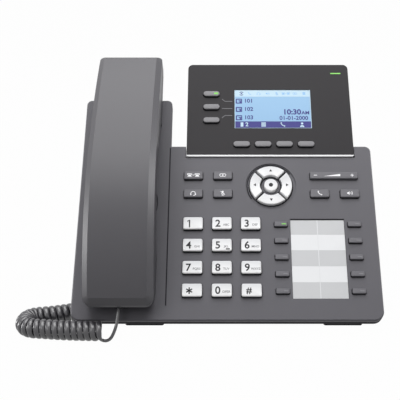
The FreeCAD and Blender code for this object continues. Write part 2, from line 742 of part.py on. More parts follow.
def jack_block():
    """Row of jacks on the board: two network sockets, handset socket, power socket."""
    mouth = -REAR_DEPTH
    jacks = []
    for x in NET_JACK_X:
        jacks.append(socket(x, NET_JACK, NET_SOCKET))
    jacks.append(socket(CORD_JACK_X, CORD_JACK, CORD_SOCKET))
    power = prism(rect(POWER_JACK_X, JACK_Y, *POWER_JACK), mouth, BOARD_BACK)
    power = power.cut(disc(POWER_JACK_X, JACK_Y, POWER_SOCKET_R, mouth - 1, mouth + SOCKET_DEPTH))
    pin = disc(POWER_JACK_X, JACK_Y, POWER_PIN_R, mouth + WALL, mouth + SOCKET_DEPTH)
    jacks.append(power.fuse(pin).removeSplitter())
    return Part.makeCompound(jacks)


def socket(x, size, hollow):
    """One modular jack with its rectangular socket."""
    mouth = -REAR_DEPTH
    block = prism(rect(x, JACK_Y, *size), mouth, BOARD_BACK)
    return block.cut(prism(rect(x, JACK_Y, *hollow), mouth - 1, mouth + SOCKET_DEPTH))


def hook_plunger():
    """Hook switch plunger, held down by the resting handset."""
    x, y = PLUNGER_SPOT
    flange_top = EAR_PAD - PLUNGER_TRAVEL - KEY_STOP_GAP
    stem = prism(rect(x, y, *PLUNGER), flange_top, EAR_FLOOR)
    flange = prism(rect(x, y, *grown(PLUNGER, PLUNGER_FLANGE)), flange_top - PLUNGER_FLANGE_T, flange_top)
    return stem.fuse(flange).removeSplitter()


def side_point(point, x):
    """A side-profile point (y, z) at one place across the panel."""
    return Vector(x, point[0], point[1])


def arc_from(start, tangent, end):
    """Arc that leaves a start point along a tangent and reaches the end, shorter than half a circle."""
    chord = end - start
    normal = chord - tangent * chord.dot(tangent)
    normal.normalize()
    radius = chord.dot(chord) / (2 * chord.dot(normal))
    centre = start + normal * radius
    out = (start + end) * 0.5 - centre
    out.normalize()
    return Part.Arc(start, centre + out * radius, end)


def handset_side(x):
    """Closed side profile of the handset: arched back, hollowed grip, mouth and ear ends."""
    start, rise, crest = [side_point(p, x) for p in (HANDSET_TOP_START, HANDSET_TOP_RISE, HANDSET_TOP_CREST)]
    fall, end = [side_point(p, x) for p in (HANDSET_TOP_FALL, HANDSET_TOP_END)]
    first = Part.Arc(start, rise, crest)
    second = arc_from(crest, first.tangent(first.LastParameter)[0], fall)
    third = arc_from(fall, second.tangent(second.LastParameter)[0], end)
    ear_floor = EAR_FLOOR + HANDSET_REST_GAP
    tip = HANDSET_HIGH_END
    chain = [
        HANDSET_TOP_END, (tip, HANDSET_TOP_END[1] - HANDSET_HIGH_CHAMFER), (tip, HANDSET_HIGH_CHAMFER / 2),
        (EAR_END_Y, ear_floor), (EAR_Y, ear_floor), (EAR_Y, HANDSET_ARCH_SPRING),
    ]
    mouth = [
        (HANDSET_MOUTH_Y[1], HANDSET_ARCH_SPRING), (HANDSET_MOUTH_Y[1], HANDSET_REST_GAP),
        (HANDSET_MOUTH_Y[0], HANDSET_REST_GAP), (HANDSET_LOW_END, HANDSET_LOW_LIP),
        (HANDSET_LOW_END, HANDSET_BEVEL_BASE), HANDSET_TOP_START,
    ]
    arch = [side_point(p, x) for p in (chain[-1], HANDSET_ARCH_CREST, mouth[0])]
    edges = [arc.toShape() for arc in (first, second, third)]
    edges += Part.makePolygon([side_point(p, x) for p in chain]).Edges
    edges.append(Part.Arc(*arch).toShape())
    edges += Part.makePolygon([side_point(p, x) for p in mouth]).Edges
    return Part.Face(Part.Wire(edges))


def handset_solid():
    """Whole handset with chamfered long sides and a narrower earpiece."""
    left = HANDSET_X - HANDSET_WIDTH / 2
    right = HANDSET_X + HANDSET_WIDTH / 2
    solid = handset_side(left).extrude(Vector(HANDSET_WIDTH, 0, 0))
    long_edges = []
    for edge in solid.Edges:
        middle = edge.valueAt((edge.FirstParameter + edge.LastParameter) / 2)
        on_side = min(abs(middle.x - left), abs(middle.x - right)) < 1e-6
        if on_side and middle.z > HANDSET_BEVEL_BASE:
            if HANDSET_TOP_START[0] < middle.y < HANDSET_TOP_END[0] and not on_arch(middle):
                long_edges.append(edge)
    solid = solid.makeChamfer(HANDSET_CHAMFER, long_edges)
    beside = span((left - 1, right + 1), (EAR_Y - 1, HANDSET_HIGH_END + 1))
    collar = prism(beside, EAR_FLOOR - 1, HANDSET_REST_GAP)
    return solid.cut(collar.cut(prism(ear_outline(0), EAR_FLOOR - 1, HANDSET_REST_GAP)))


def on_arch(point):
    """True where a point of the side profile belongs to the hollowed grip."""
    inside = HANDSET_MOUTH_Y[1] - 1 < point.y < EAR_Y + 1
    return inside and point.z < (HANDSET_ARCH_CREST[1] + HANDSET_TOP_FALL[1]) / 2


def handset_shells():
    """Outer and inner shell, parted along a line that follows the arch, with sound slots and jack."""
    solid = handset_solid()
    left = HANDSET_X - HANDSET_WIDTH
    first, crest, last, tip = [side_point(p, left) for p in PARTING]
    high = HANDSET_ARCH_CREST[1] * 3
    roof = [tip, Vector(left, tip.y, high), Vector(left, first.y, high), first]
    edges = [Part.Arc(first, crest, last).toShape(), Part.makeLine(last, tip)]
    edges += Part.makePolygon(roof).Edges
    upper = Part.Face(Part.Wire(edges)).extrude(Vector(2 * HANDSET_WIDTH, 0, 0))
    outer = solid.common(upper)
    inner = solid.cut(upper)
    holes = []
    for y, floor in ((EAR_SOUND_Y, EAR_FLOOR), (MOUTH_SOUND_Y, 0)):
        top = floor + HANDSET_REST_GAP + SOUND_SLOT_DEPTH
        for i in range(SOUND_SLOTS):
            rise = y + (i - (SOUND_SLOTS - 1) / 2) * SOUND_SLOT_PITCH
            holes.append(prism(rect(HANDSET_X, rise, *SOUND_SLOT), floor - 1, top))
    holes.append(plug_box(grown(CORD_SOCKET, 0), 0, HANDSET_PLUG_END + PLUG_LENGTH + PLUG_CLEAR))
    return outer, inner.cut(Part.makeCompound(holes))


def plug_box(size, low, high):
    """Bar along the panel at the handset's lower end, between two heights up the panel."""
    x = HANDSET_X - size[0] / 2
    z = HANDSET_PLUG_Z - size[1] / 2
    return Part.makeBox(size[0], high - low, size[1], Vector(x, low, z))


def handset_plug():
    """Modular plug in the handset's lower end."""
    size = grown(CORD_SOCKET, -PLUG_CLEAR)
    return plug_box(size, HANDSET_PLUG_END, HANDSET_PLUG_END + PLUG_LENGTH)


def base_plug():
    """Modular plug in the base's handset socket, with its boot outside the wall."""
    size = grown(CORD_SOCKET, -PLUG_CLEAR)
    low = -REAR_DEPTH - BASE_PLUG_OUT
    high = SOCKET_DEPTH - REAR_DEPTH - PLUG_CLEAR
    return prism(rect(CORD_JACK_X, JACK_Y, *size), low, high)


def desk_stand():
    """Plate that props the body up, hooked into the back by two tabs, with ribs on its outer face."""
    inner = [on_table(0, y, -REAR_DEPTH) for y in STAND_GRIP]
    outer = [on_table(0, y, -REAR_DEPTH - STAND_PLATE) for y in STAND_GRIP]
    foot = [Vector(0, STAND_FOOT_Y[1], FOOT_HEIGHT), Vector(0, STAND_FOOT_Y[0], FOOT_HEIGHT)]
    profile = [inner[0], inner[1], outer[1], foot[0], foot[1], outer[0], inner[0]]
    half = STAND_WIDTH / 2
    plate = Part.Face(Part.makePolygon(profile)).extrude(Vector(STAND_WIDTH, 0, 0))
    plate.translate(Vector(-half, 0, 0))
    adds = [plate]
    rib_line = [outer[1], foot[0] + Vector(0, STAND_RIB, 0), foot[0], outer[1]]
    for i in range(STAND_RIBS):
        x = -half + i * (STAND_WIDTH - STAND_RIB) / (STAND_RIBS - 1)
        rib = Part.Face(Part.makePolygon(rib_line)).extrude(Vector(STAND_RIB, 0, 0))
        rib.translate(Vector(x, 0, 0))
        adds.append(rib)
    for side in (-1, 1):
        tab = prism(rect(side * STAND_TAB_X, STAND_TAB_Y, *STAND_TAB), -REAR_DEPTH, REAR_INSIDE + 1)
        adds.append(tilt(tab))
    return fuse_all(adds)


def rubber_feet():
    """Two feet under the body's lower edge and two under the stand."""
    lean = math.radians(TILT_DEG)
    drop = (PANEL_EDGE_HEIGHT - FOOT_HEIGHT) / math.cos(lean)
    near = on_table(0, REAR_INSET, -drop - REAR_INSET * math.tan(lean)).y
    back = REAR_EDGE_R - REAR_DEPTH
    far = on_table(0, (-drop - back) / math.tan(lean), back).y
    front = (near + far) / 2
    rear = sum(STAND_FOOT_Y) / 2
    spots = [(x, front, *FOOT_FRONT) for x in FOOT_FRONT_XS]
    spots += [(side * FOOT_REAR_X, rear, *FOOT_REAR) for side in (-1, 1)]
    return Part.makeCompound([prism(cut_rect(*spot, FOOT_CUT), 0, FOOT_HEIGHT) for spot in spots])


class CoilAxis:
    """Route of the coil's axis on the table: straight runs and round bends, measured along its length."""

    def __init__(self, route):
        self.spans = []
        points = [Vector(x, y, 0) for x, y, _ in route]
        last = points[0]
        for i in range(1, len(points) - 1):
            back = points[i - 1] - points[i]
            ahead = points[i + 1] - points[i]
            first, middle, end = corner_arc(points[i], back, ahead, route[i][2])
            self.spans.append((Part.makeLine(last, first), math.inf))
            self.spans.append((Part.Arc(first, middle, end).toShape(), route[i][2]))
            last = end
        self.spans.append((Part.makeLine(last, points[-1]), math.inf))
        self.length = sum(edge.Length for edge, _ in self.spans)

    def at(self, distance):
        """Point, direction and bend radius at a distance along the route."""
        for edge, radius in self.spans:
            if distance <= edge.Length:
                break
            distance -= edge.Length
        distance = min(distance, edge.Length)
        where = edge.getParameterByLength(distance)
        return edge.valueAt(where), edge.tangentAt(where), radius


def coil_stations(axis):
    """Distances along the axis at each half turn, wider where the coil bends tightly."""
    radius = (COIL_OUTER - WIRE) / 2
    stations = [0.0]
    while True:
        here = stations[-1]
        bend = min(axis.at(min(here + step, axis.length))[2] for step in (0, COIL_PITCH / 2, COIL_PITCH))
        pitch = COIL_PITCH if here < COIL_HIDDEN_FROM else COIL_HIDDEN_PITCH
        if bend < math.inf:
            pitch = max(pitch, (WIRE + COIL_LEAST_GAP) * bend / (bend - radius))
        if here + pitch / 2 > axis.length:
            break
        stations.append(here + pitch / 2)
    if len(stations) % 2 == 0:
        stations.pop()
    return stations


def coil_point(axis, stations, turn):
    """Point of the wire's centre line after a number of half turns from the coil's underside."""
    radius = (COIL_OUTER - WIRE) / 2
    index = min(int(turn), len(stations) - 2)
    step = stations[index + 1] - stations[index]
    centre, along, _ = axis.at(stations[index] + (turn - index) * step)
    up = Vector(0, 0, 1)
    aside = along.cross(up)
    angle = math.pi * (turn + 1)
    lift = COIL_OUTER / 2 + COIL_FLOOR_GAP
    return centre + up * (lift + radius * math.cos(angle)) + aside * (radius * math.sin(angle))


def biarc(start, leave, end, arrive):
    """Two arcs that join two points along their two directions."""
    chord = end - start
    both = leave + arrive
    spread = 2 * (1 - leave.dot(arrive))
    lean = chord.dot(both)
    reach = (math.sqrt(lean * lean + spread * chord.dot(chord)) - lean) / spread
    middle = (start + end + (leave - arrive) * reach) * 0.5
    first = arc_from(start, leave, middle)
    return [first, arc_from(middle, first.tangent(first.LastParameter)[0], end)]


def coil_arcs(axis):
    """Arcs of the whole coil, half a turn at a time, with the point and direction of its two ends."""
    stations = coil_stations(axis)
    last = len(stations) - 1
    nudge = 0.02
    points, ways = [], []
    for turn in range(last + 1):
        low, high = max(turn - nudge, 0), min(turn + nudge, last)
        way = coil_point(axis, stations, high) - coil_point(axis, stations, low)
        way.z = 0
        way.normalize()
        points.append(coil_point(axis, stations, turn))
        ways.append(way)
    edges = []
    for turn in range(last):
        arcs = biarc(points[turn], ways[turn], points[turn + 1], ways[turn + 1])
        edges += [arc.toShape() for arc in arcs]
    print("coil turns", last / 2, "tightest wire radius", round(min(e.Curve.Radius for e in edges), 2))
    return edges, (points[0], ways[0]), (points[-1], ways[-1])


def tail_edges(points):
    """Straight runs joined by tangent arcs as large as the runs allow."""
    edges, radii = [], []
    last = points[0]
    for i in range(1, len(points) - 1):
        back = points[i - 1] - points[i]
        ahead = points[i + 1] - points[i]
        half_turn = (math.pi - back.getAngle(ahead)) / 2
        radius = 0.45 * min(back.Length, ahead.Length) / math.tan(half_turn)
        first, middle, end = corner_arc(points[i], back, ahead, radius)
        edges += [Part.makeLine(last, first), Part.Arc(first, middle, end).toShape()]
        radii.append(round(radius, 1))
        last = end
    edges.append(Part.makeLine(last, points[-1]))
    print("tail radii", radii)
    return edges


def cord_path():
    """Edges of the cord's centre line from the handset's plug to the base's plug."""
    axis = CoilAxis(COIL_ROUTE)
    turns, (start, way_in), (finish, way_out) = coil_arcs(axis)
    plug = on_table(HANDSET_X, HANDSET_PLUG_END, HANDSET_PLUG_Z)
    tail = [plug] + [Vector(*p) for p in HANDSET_TAIL] + [start - way_in * TAIL_LEAD, start]
    base = on_table(CORD_JACK_X, JACK_Y, -REAR_DEPTH - BASE_PLUG_OUT)
    outward = on_table(CORD_JACK_X, JACK_Y, -REAR_DEPTH - BASE_PLUG_OUT - PLUG_RUN)
    end_tail = [finish, finish + way_out * TAIL_LEAD] + [Vector(*p) for p in BASE_TAIL] + [outward, base]
    return tail_edges(tail) + turns + tail_edges(end_tail)


def least_gap(edges):
    """Smallest clear gap of the wire to itself, measured on points along it."""
    step = WIRE / 2
    points, places, run = [], [], 0.0
    for edge in edges:
        count = max(int(edge.Length / step), 1)
        for i in range(count):
            where = edge.Length * i / count
            points.append(edge.valueAt(edge.getParameterByLength(where)))
            places.append(run + where)
        run += edge.Length
    skip = (COIL_OUTER - WIRE) * math.pi / 2
    gap = math.inf
    for i, point in enumerate(points):
        for j in range(i + 1, len(points)):
            if places[j] - places[i] > skip:
                away = points[j] - point
                gap = min(gap, away.dot(away))
    return math.sqrt(gap) - WIRE, run


def handset_cord():
    """Curly cord as one unbroken six-sided tube, with straight tails into both plugs."""
    edges = cord_path()
    gap, length = least_gap(edges)
    print("cord length", round(length), "least gap to itself", round(gap, 2))
    spine = Part.Wire(edges)
    start = edges[0].valueAt(edges[0].FirstParameter)
    along = edges[0].tangentAt(edges[0].FirstParameter)
    across = Vector(1, 0, 0)
    other = along.cross(across)
    ring = []
    for i in range(7):
        turn = math.pi * i / 3
        ring.append(start + across * (WIRE / 2 * math.cos(turn)) + other * (WIRE / 2 * math.sin(turn)))
    tube = Part.BRepOffsetAPI.MakePipeShell(spine)
    tube.add(Part.makePolygon(ring))
    tube.build()
    tube.makeSolid()
    return tube.shape()


def build():
    """Every node in table axes, with the origin under the middle of the object."""
    keys, holes = panel_keys()
    arrows, arrow_holes = nav_keys()
    rocker, rocker_hole = volume_rocker()
    pills, pill_holes = screen_keys()
    outer, inner = handset_shells()
    panel = {
        "front_housing": front_housing(holes + arrow_holes + [rocker_hole]),
        "rear_housing": rear_housing(),
        "housing_screws": housing_screws(),
        "screen_frame": screen_frame(),
        "screen_lens": screen_lens(pill_holes),
        "lcd_module": lcd_module(),
        "label_card": label_card(),
        "main_board": main_board(),
        "keypad_mat": keypad_mat(),
        "loudspeaker": loudspeaker(),
        "jack_block": jack_block(),
        "hook_plunger": hook_plunger(),
        "handset_outer_shell": outer,
        "handset_inner_shell": inner,
        "handset_plug": handset_plug(),
        "base_plug": base_plug(),
        "volume_rocker": rocker,
    }
    panel.update(keys)
    panel.update(arrows)
    panel.update(pills)
    nodes = {name: tilt(shape) for name, shape in panel.items()}
    nodes["desk_stand"] = desk_stand()
    nodes["rubber_feet"] = rubber_feet()
    nodes["handset_cord"] = handset_cord()
    middle = object_middle(nodes)
    for shape in nodes.values():
        shape.translate(-middle)
    return nodes, middle


def object_middle(nodes):
    """Middle of the object's footprint at table level, without the cord and its plugs."""
    box = FreeCAD.BoundBox()
    for name, shape in nodes.items():
        if name not in ("handset_cord", "handset_plug", "base_plug"):
            box.add(shape.optimalBoundingBox(False, False))
    return Vector(box.Center.x, box.Center.y, 0)


def main():
    """Write one file per node."""
    os.makedirs("parts", exist_ok=True)
    nodes, middle = build()
    print("nodes", len(nodes), "origin", [round(c, 3) for c in middle])
    for name, shape in nodes.items():
        shape.exportStep("parts/" + name + ".step")


if __name__ == "__main__":
    main()
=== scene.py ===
"""Desk telephone dressed for show: moulded finishes, printed keys, lit display, smooth handset, curly cord.

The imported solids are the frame. Sizes are millimetres in the panel's own axes, unless a name says
otherwise: x across the panel, y up its slope, z straight out of it, zero at its lower front edge.
"""
import bisect
import json
import logging
import math
from dataclasses import dataclass
from enum import Enum
from typing import Iterable, Optional, Sequence

import bmesh
import bpy
from bmesh.types import BMesh
from mathutils import Matrix, Vector
from mathutils.kdtree import KDTree


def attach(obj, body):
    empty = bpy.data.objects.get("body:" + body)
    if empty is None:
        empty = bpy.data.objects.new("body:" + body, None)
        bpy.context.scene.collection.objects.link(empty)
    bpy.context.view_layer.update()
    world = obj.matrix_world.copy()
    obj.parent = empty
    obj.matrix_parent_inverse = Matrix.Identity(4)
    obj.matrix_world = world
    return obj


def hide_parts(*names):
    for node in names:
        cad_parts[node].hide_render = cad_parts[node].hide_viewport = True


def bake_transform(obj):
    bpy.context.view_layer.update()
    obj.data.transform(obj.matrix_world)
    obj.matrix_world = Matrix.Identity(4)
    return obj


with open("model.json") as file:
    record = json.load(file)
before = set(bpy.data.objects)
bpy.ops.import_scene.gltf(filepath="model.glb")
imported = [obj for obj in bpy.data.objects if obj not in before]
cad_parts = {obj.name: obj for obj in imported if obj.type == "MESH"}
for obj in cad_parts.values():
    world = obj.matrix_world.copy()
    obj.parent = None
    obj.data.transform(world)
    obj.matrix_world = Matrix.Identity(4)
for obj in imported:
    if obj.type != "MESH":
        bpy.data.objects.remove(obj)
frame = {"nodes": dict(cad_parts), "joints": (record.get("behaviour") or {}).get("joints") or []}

LOG = logging.getLogger("desk_phone")
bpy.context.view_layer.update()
MM = 0.001
INK = 0.05
TOUCH = 1e-4
CORNER_STEPS = 6
EDGE_STEPS = 3
DISC_SIDES = 40
SPOT_SIDES = 18
FONT_PER_CAPITAL = 1.38
MIX_LOW, MIX_HIGH, MIX_RESULT = 6, 7, 2
Point = tuple[float, float]
Outline = list[Point]
Triple = tuple[float, float, float]
Shades = tuple[int, int, int]


def linear(shades: Shades, strength: float = 1.0) -> tuple[float, float, float, float]:
    """Turn display shades into the linear colour that a shader takes.

    Args:
        shades: red, green and blue from 0 to 255, as a screen shows them.
        strength: factor on the linear colour.

    Returns:
        Red, green, blue and alpha.
    """
    parts = []
    for shade in shades:
        value = shade / 255
        parts.append(strength * (value / 12.92 if value <= 0.04045 else ((value + 0.055) / 1.055) ** 2.4))
    return parts[0], parts[1], parts[2], 1.0


@dataclass(frozen=True)
class Finish:
    """A surface finish: a mottled colour, a fine moulded grain and an uneven gloss."""

    name: str
    slot: str
    colour: Shades
    mottle: float = 0.92
    mottle_mm: float = 14.0
    gloss: tuple[float, float] = (0.42, 0.54)
    grain_mm: float = 0.45
    relief_mm: float = 0.012
    metallic: float = 0.0
    clear: float = 0.0
    glow: float = 0.0
    # Colour at a piece's upper end, faded in up its height by the "rise" attribute; on the handset and the
    # keys it is painted shade, their upper ends drawn darker
    high_colour: Optional[Shades] = None
    specular: float = 0.3
    mottle_detail: float = 3.0
    grain_detail: float = 2.0
    grain_depth: float = 0.6

    def material(self) -> bpy.types.Material:
        """Make the material once, and give it again when asked.

        Returns:
            The node material of this finish.
        """
        found = bpy.data.materials.get(self.name)
        if found:
            return found
        material = bpy.data.materials.new(self.name)
        material.use_nodes = True
        nodes = material.node_tree.nodes
        link = material.node_tree.links.new
        shader = nodes["Principled BSDF"]
        shader.inputs["Metallic"].default_value = self.metallic
        shader.inputs["Specular IOR Level"].default_value = self.specular
        shader.inputs["Transmission Weight"].default_value = self.clear
        shader.inputs["Emission Strength"].default_value = self.glow
        place = nodes.new("ShaderNodeTexCoord")
        cloud = self.noise(nodes, self.mottle_mm, self.mottle_detail)
        grain = self.noise(nodes, self.grain_mm, self.grain_detail)
        link(place.outputs["Object"], cloud.inputs["Vector"])
        link(place.outputs["Object"], grain.inputs["Vector"])
        colour = self.mix(nodes, linear(self.colour, self.mottle), linear(self.colour))
        link(cloud.outputs["Fac"], colour.inputs["Factor"])
        result = colour.outputs[MIX_RESULT]
        # Painted shade on the handset and the keys: the colour fades towards the high colour up the piece.
        if self.high_colour:
            rise = nodes.new("ShaderNodeAttribute")
            rise.attribute_name = "rise"
            fade = self.mix(nodes, linear(self.colour), linear(self.high_colour))
            link(rise.outputs["Fac"], fade.inputs["Factor"])
            link(result, fade.inputs[MIX_LOW])
            result = fade.outputs[MIX_RESULT]
        link(result, shader.inputs["Base Color"])
        if self.glow:
            link(result, shader.inputs["Emission Color"])
        spread = nodes.new("ShaderNodeMapRange")
        spread.inputs["To Min"].default_value = self.gloss[0]
        spread.inputs["To Max"].default_value = self.gloss[1]
        link(grain.outputs["Fac"], spread.inputs["Value"])
        link(spread.outputs["Result"], shader.inputs["Roughness"])
        bump = nodes.new("ShaderNodeBump")
        bump.inputs["Strength"].default_value = self.grain_depth
        bump.inputs["Distance"].default_value = self.relief_mm * MM
        link(grain.outputs["Fac"], bump.inputs["Height"])
        link(bump.outputs["Normal"], shader.inputs["Normal"])
        return material

    @staticmethod
    def noise(nodes: bpy.types.Nodes, size_mm: float, detail: float) -> bpy.types.Node:
        """Add a noise whose blotches have about one size.

        Args:
            nodes: the nodes to add it to.
            size_mm: size of a blotch.
            detail: how many finer layers it has.

        Returns:
            The noise node.
        """
        made = nodes.new("ShaderNodeTexNoise")
        made.inputs["Scale"].default_value = 1 / (size_mm * MM)
        made.inputs["Detail"].default_value = detail
        return made

    @staticmethod
    def mix(nodes: bpy.types.Nodes, low: Sequence[float], high: Sequence[float]) -> bpy.types.Node:
        """Add a mix between two colours.

        Args:
            nodes: the nodes to add it to.
            low: colour at zero.
            high: colour at one.

        Returns:
            The mix node.
        """
        made = nodes.new("ShaderNodeMix")
        made.data_type = "RGBA"
        made.inputs[MIX_LOW].default_value = low
        made.inputs[MIX_HIGH].default_value = high
        return made


class Finishes(Enum):
    """Every finish of the telephone."""

    GREY_SHELL = Finish("body_grey_plastic", "grey_shell", (95, 94, 99), specular=0.2)
    DARK_SHELL = Finish("back_dark_plastic", "dark_shell", (56, 55, 59))
    # Handset back: painted shade, its colour drawn darker towards the upper end.
    HANDSET_GREY = Finish("handset_grey_plastic", "handset_grey", (84, 83, 87), gloss=(0.36, 0.44),
                          high_colour=(74, 73, 77))
    HANDSET_DARK = Finish("handset_inner_plastic", "handset_dark", (52, 51, 55))
    WHITE_TRIM = Finish("white_trim_plastic", "white_trim", (224, 224, 226), gloss=(0.3, 0.42))
    BLACK_LENS = Finish("bezel_black_satin", "black_lens", (36, 34, 37), gloss=(0.32, 0.4), relief_mm=0.002,
                        specular=0.12)
    PAPER = Finish("label_paper_white", "paper", (227, 228, 230), mottle=0.97, gloss=(0.7, 0.85))
    PAPER_GREY = Finish("label_paper_grey", "paper", (198, 199, 201), mottle=0.97, gloss=(0.7, 0.85))
    PAPER_LINE = Finish("label_paper_line", "paper", (222, 223, 225), mottle=0.97, gloss=(0.7, 0.85))
    BOARD = Finish("board_green_lacquer", "circuit_board", (38, 92, 58), gloss=(0.3, 0.5))
    SILICONE = Finish("mat_grey_silicone", "silicone", (150, 150, 152), gloss=(0.6, 0.75))
    BLACK_PARTS = Finish("black_moulded_parts", "black_parts", (34, 34, 36))
    RUBBER = Finish("foot_black_rubber", "rubber", (38, 37, 40), gloss=(0.7, 0.85), relief_mm=0.02)
    CORD = Finish("cord_satin_jacket", "cord_jacket", (58, 57, 61), gloss=(0.28, 0.34), relief_mm=0.004,
                  specular=0.9)
    CLEAR_PLUG = Finish("plug_smoky_plastic", "clear_plug", (96, 97, 100), gloss=(0.12, 0.2), clear=0.5)
    # Grey and white keys: painted shade, each cap drawn darker towards its upper edge.
    GREY_KEY = Finish("key_grey_plastic", "grey_keys", (110, 109, 114), high_colour=(84, 83, 88))
    WHITE_KEY = Finish("key_white_plastic", "white_keys", (250, 250, 250), mottle=0.98,
                       high_colour=(192, 193, 196), gloss=(0.34, 0.46))
    # Pale keys: painted shade, each cap drawn darker towards its upper edge.
    PALE_KEY = Finish("key_pale_plastic", "pale_keys", (134, 133, 136), high_colour=(112, 111, 114))
    STEEL = Finish("screw_steel", "steel", (170, 170, 172), metallic=1.0, gloss=(0.28, 0.42))
    DISPLAY = Finish("display_blue", "display", (137, 173, 206), mottle=0.97, gloss=(0.3, 0.36),
                     relief_mm=0.001, glow=0.08, high_colour=(142, 178, 209), specular=0.15)
    DISPLAY_PALE = Finish("display_pale_band", "display", (180, 204, 219), mottle=0.98, gloss=(0.3, 0.36),
                          glow=0.08, specular=0.15)
    DISPLAY_INK = Finish("display_dark_ink", "display", (58, 56, 124), mottle=0.96, gloss=(0.3, 0.4),
                         glow=0.04, specular=0.15)
    DISPLAY_FAINT = Finish("display_faint_ink", "display", (132, 178, 222), mottle=0.96, gloss=(0.3, 0.4),
                           glow=0.06, specular=0.15)
    WHITE_INK = Finish("white_print", "white_trim", (236, 236, 238), mottle=0.97, gloss=(0.5, 0.6))
    BLACK_INK = Finish("black_print", "black_parts", (30, 30, 33), gloss=(0.5, 0.6))
    GREY_INK = Finish("grey_print", "grey_keys", (120, 120, 124), gloss=(0.5, 0.6))
    LAMP_OFF = Finish("unlit_lamp", "grey_keys", (122, 121, 126), gloss=(0.4, 0.5))
    # Near-black painted shade: collars round the keys' feet, rings round the arrow keys, the card's head,
    # the column's groove, the grille dish's rim and the lower wall; in the arrow keys' diagonal gaps it
    # also stands for the dark inside
    SHADOW_GAP = Finish("painted_shade_and_gap", "black_parts", (44, 43, 47), gloss=(0.7, 0.8), specular=0.1)
    GREEN_LIGHT = Finish("green_lamp", "display", (112, 186, 76), mottle=0.95, gloss=(0.3, 0.4), glow=0.25)

    def skin(self) -> bpy.types.Material:
        """The material of this finish."""
        return self.value.material()


@dataclass(frozen=True)
class Stance:
    """Where the panel and the table lie, read from the rocker's hinge in the frame."""

    hinge: str = "volume_tip"
    hinge_spot: Triple = (76.0, 106.2, -2.2)

    def panel(self) -> Matrix:
        """Matrix from panel millimetres to the frame's metres.

        Returns:
            The panel's placement.
        """
        joint = next(j for j in frame["joints"] if j["name"] == self.hinge)
        up = Vector(joint["axis"])
        turn = Matrix.Rotation(math.atan2(up.z, up.y), 4, "X") @ Matrix.Scale(MM, 4)
        edge = Vector(joint["pos_m"]) - turn @ Vector(self.hinge_spot)
        return Matrix.Translation(edge) @ turn

    def table(self) -> Matrix:
        """Matrix from table millimetres, under the panel's lower edge, to the frame's metres."""
        edge = self.panel().translation
        return Matrix.Translation((edge.x, edge.y, 0)) @ Matrix.Scale(MM, 4)


PANEL = Stance().panel()
TABLE = Stance().table()


def plate(outline: Outline, low: float, high: float) -> BMesh:
    """Stretch a flat outline into a closed plate.

    Args:
        outline: corners in order.
        low: height of the under face.
        high: height of the upper face.

    Returns:
        The plate.
    """
    shape = bmesh.new()
    face = shape.faces.new([shape.verts.new((x, y, low)) for x, y in outline])
    grown = bmesh.ops.extrude_face_region(shape, geom=[face])["geom"]
    lifted = [part for part in grown if isinstance(part, bmesh.types.BMVert)]
    bmesh.ops.translate(shape, verts=lifted, vec=(0, 0, high - low))
    return shape


def soften(shape: BMesh, edges: Iterable[bmesh.types.BMEdge], radius: float, steps: int) -> None:
    """Round off some edges.

    Args:
        shape: the shape they belong to.
        edges: the edges.
        radius: size of the rounding.
        steps: faces across it.
    """
    bmesh.ops.bevel(shape, geom=list(edges), offset=radius, offset_type="OFFSET", segments=steps,
                    profile=0.5, affect="EDGES", clamp_overlap=False, material=-1)


def edges_at(shape: BMesh, height: float) -> list[bmesh.types.BMEdge]:
    """Edges that lie wholly at one height."""
    return [e for e in shape.edges if all(abs(v.co.z - height) < TOUCH for v in e.verts)]


def block(size: Point, centre: Point, low: float, high: float, corner: float = 0.0,
          edge: float = 0.0) -> BMesh:
    """Make an upright block with round corners and a round upper edge.

    Args:
        size: width and height.
        centre: place of its middle.
        low: height of its under face.
        high: height of its upper face.
        corner: radius of its upright corners.
        edge: radius of its upper edge.

    Returns:
        The block.
    """
    shape = bmesh.new()
    place = Matrix.Translation((*centre, (low + high) / 2)) @ Matrix.Diagonal((*size, high - low, 1))
    bmesh.ops.create_cube(shape, size=1.0, matrix=place)
    if corner:
        upright = [e for e in shape.edges if abs(e.verts[0].co.z - e.verts[1].co.z) > (high - low) / 2]
        soften(shape, upright, corner, CORNER_STEPS)
    if edge:
        soften(shape, edges_at(shape, high), edge, EDGE_STEPS)
    return shape


def disc(centre: Point, radius: float, low: float, high: float, edge: float) -> BMesh:
    """Make an upright disc with a round upper edge.

    Args:
        centre: place of its middle.
        radius: its radius.
        low: height of its under face.
        high: height of its upper face.
        edge: radius of its upper edge.

    Returns:
        The disc.
    """
    shape = bmesh.new()
    place = Matrix.Translation((*centre, (low + high) / 2))
    bmesh.ops.create_cone(shape, cap_ends=True, segments=DISC_SIDES, radius1=radius, radius2=radius,
                          depth=high - low, matrix=place)
    soften(shape, edges_at(shape, high), edge, EDGE_STEPS)
    return shape


def joined(shapes: Iterable[BMesh]) -> BMesh:
    """Put several shapes in one.

    Args:
        shapes: the shapes, which are used up.

    Returns:
        One shape that holds them all.
    """
    whole = bmesh.new()
    for shape in shapes:
        mesh = bpy.data.meshes.new("joined")
        shape.to_mesh(mesh)
        shape.free()
        whole.from_mesh(mesh)
        bpy.data.meshes.remove(mesh)
    return whole


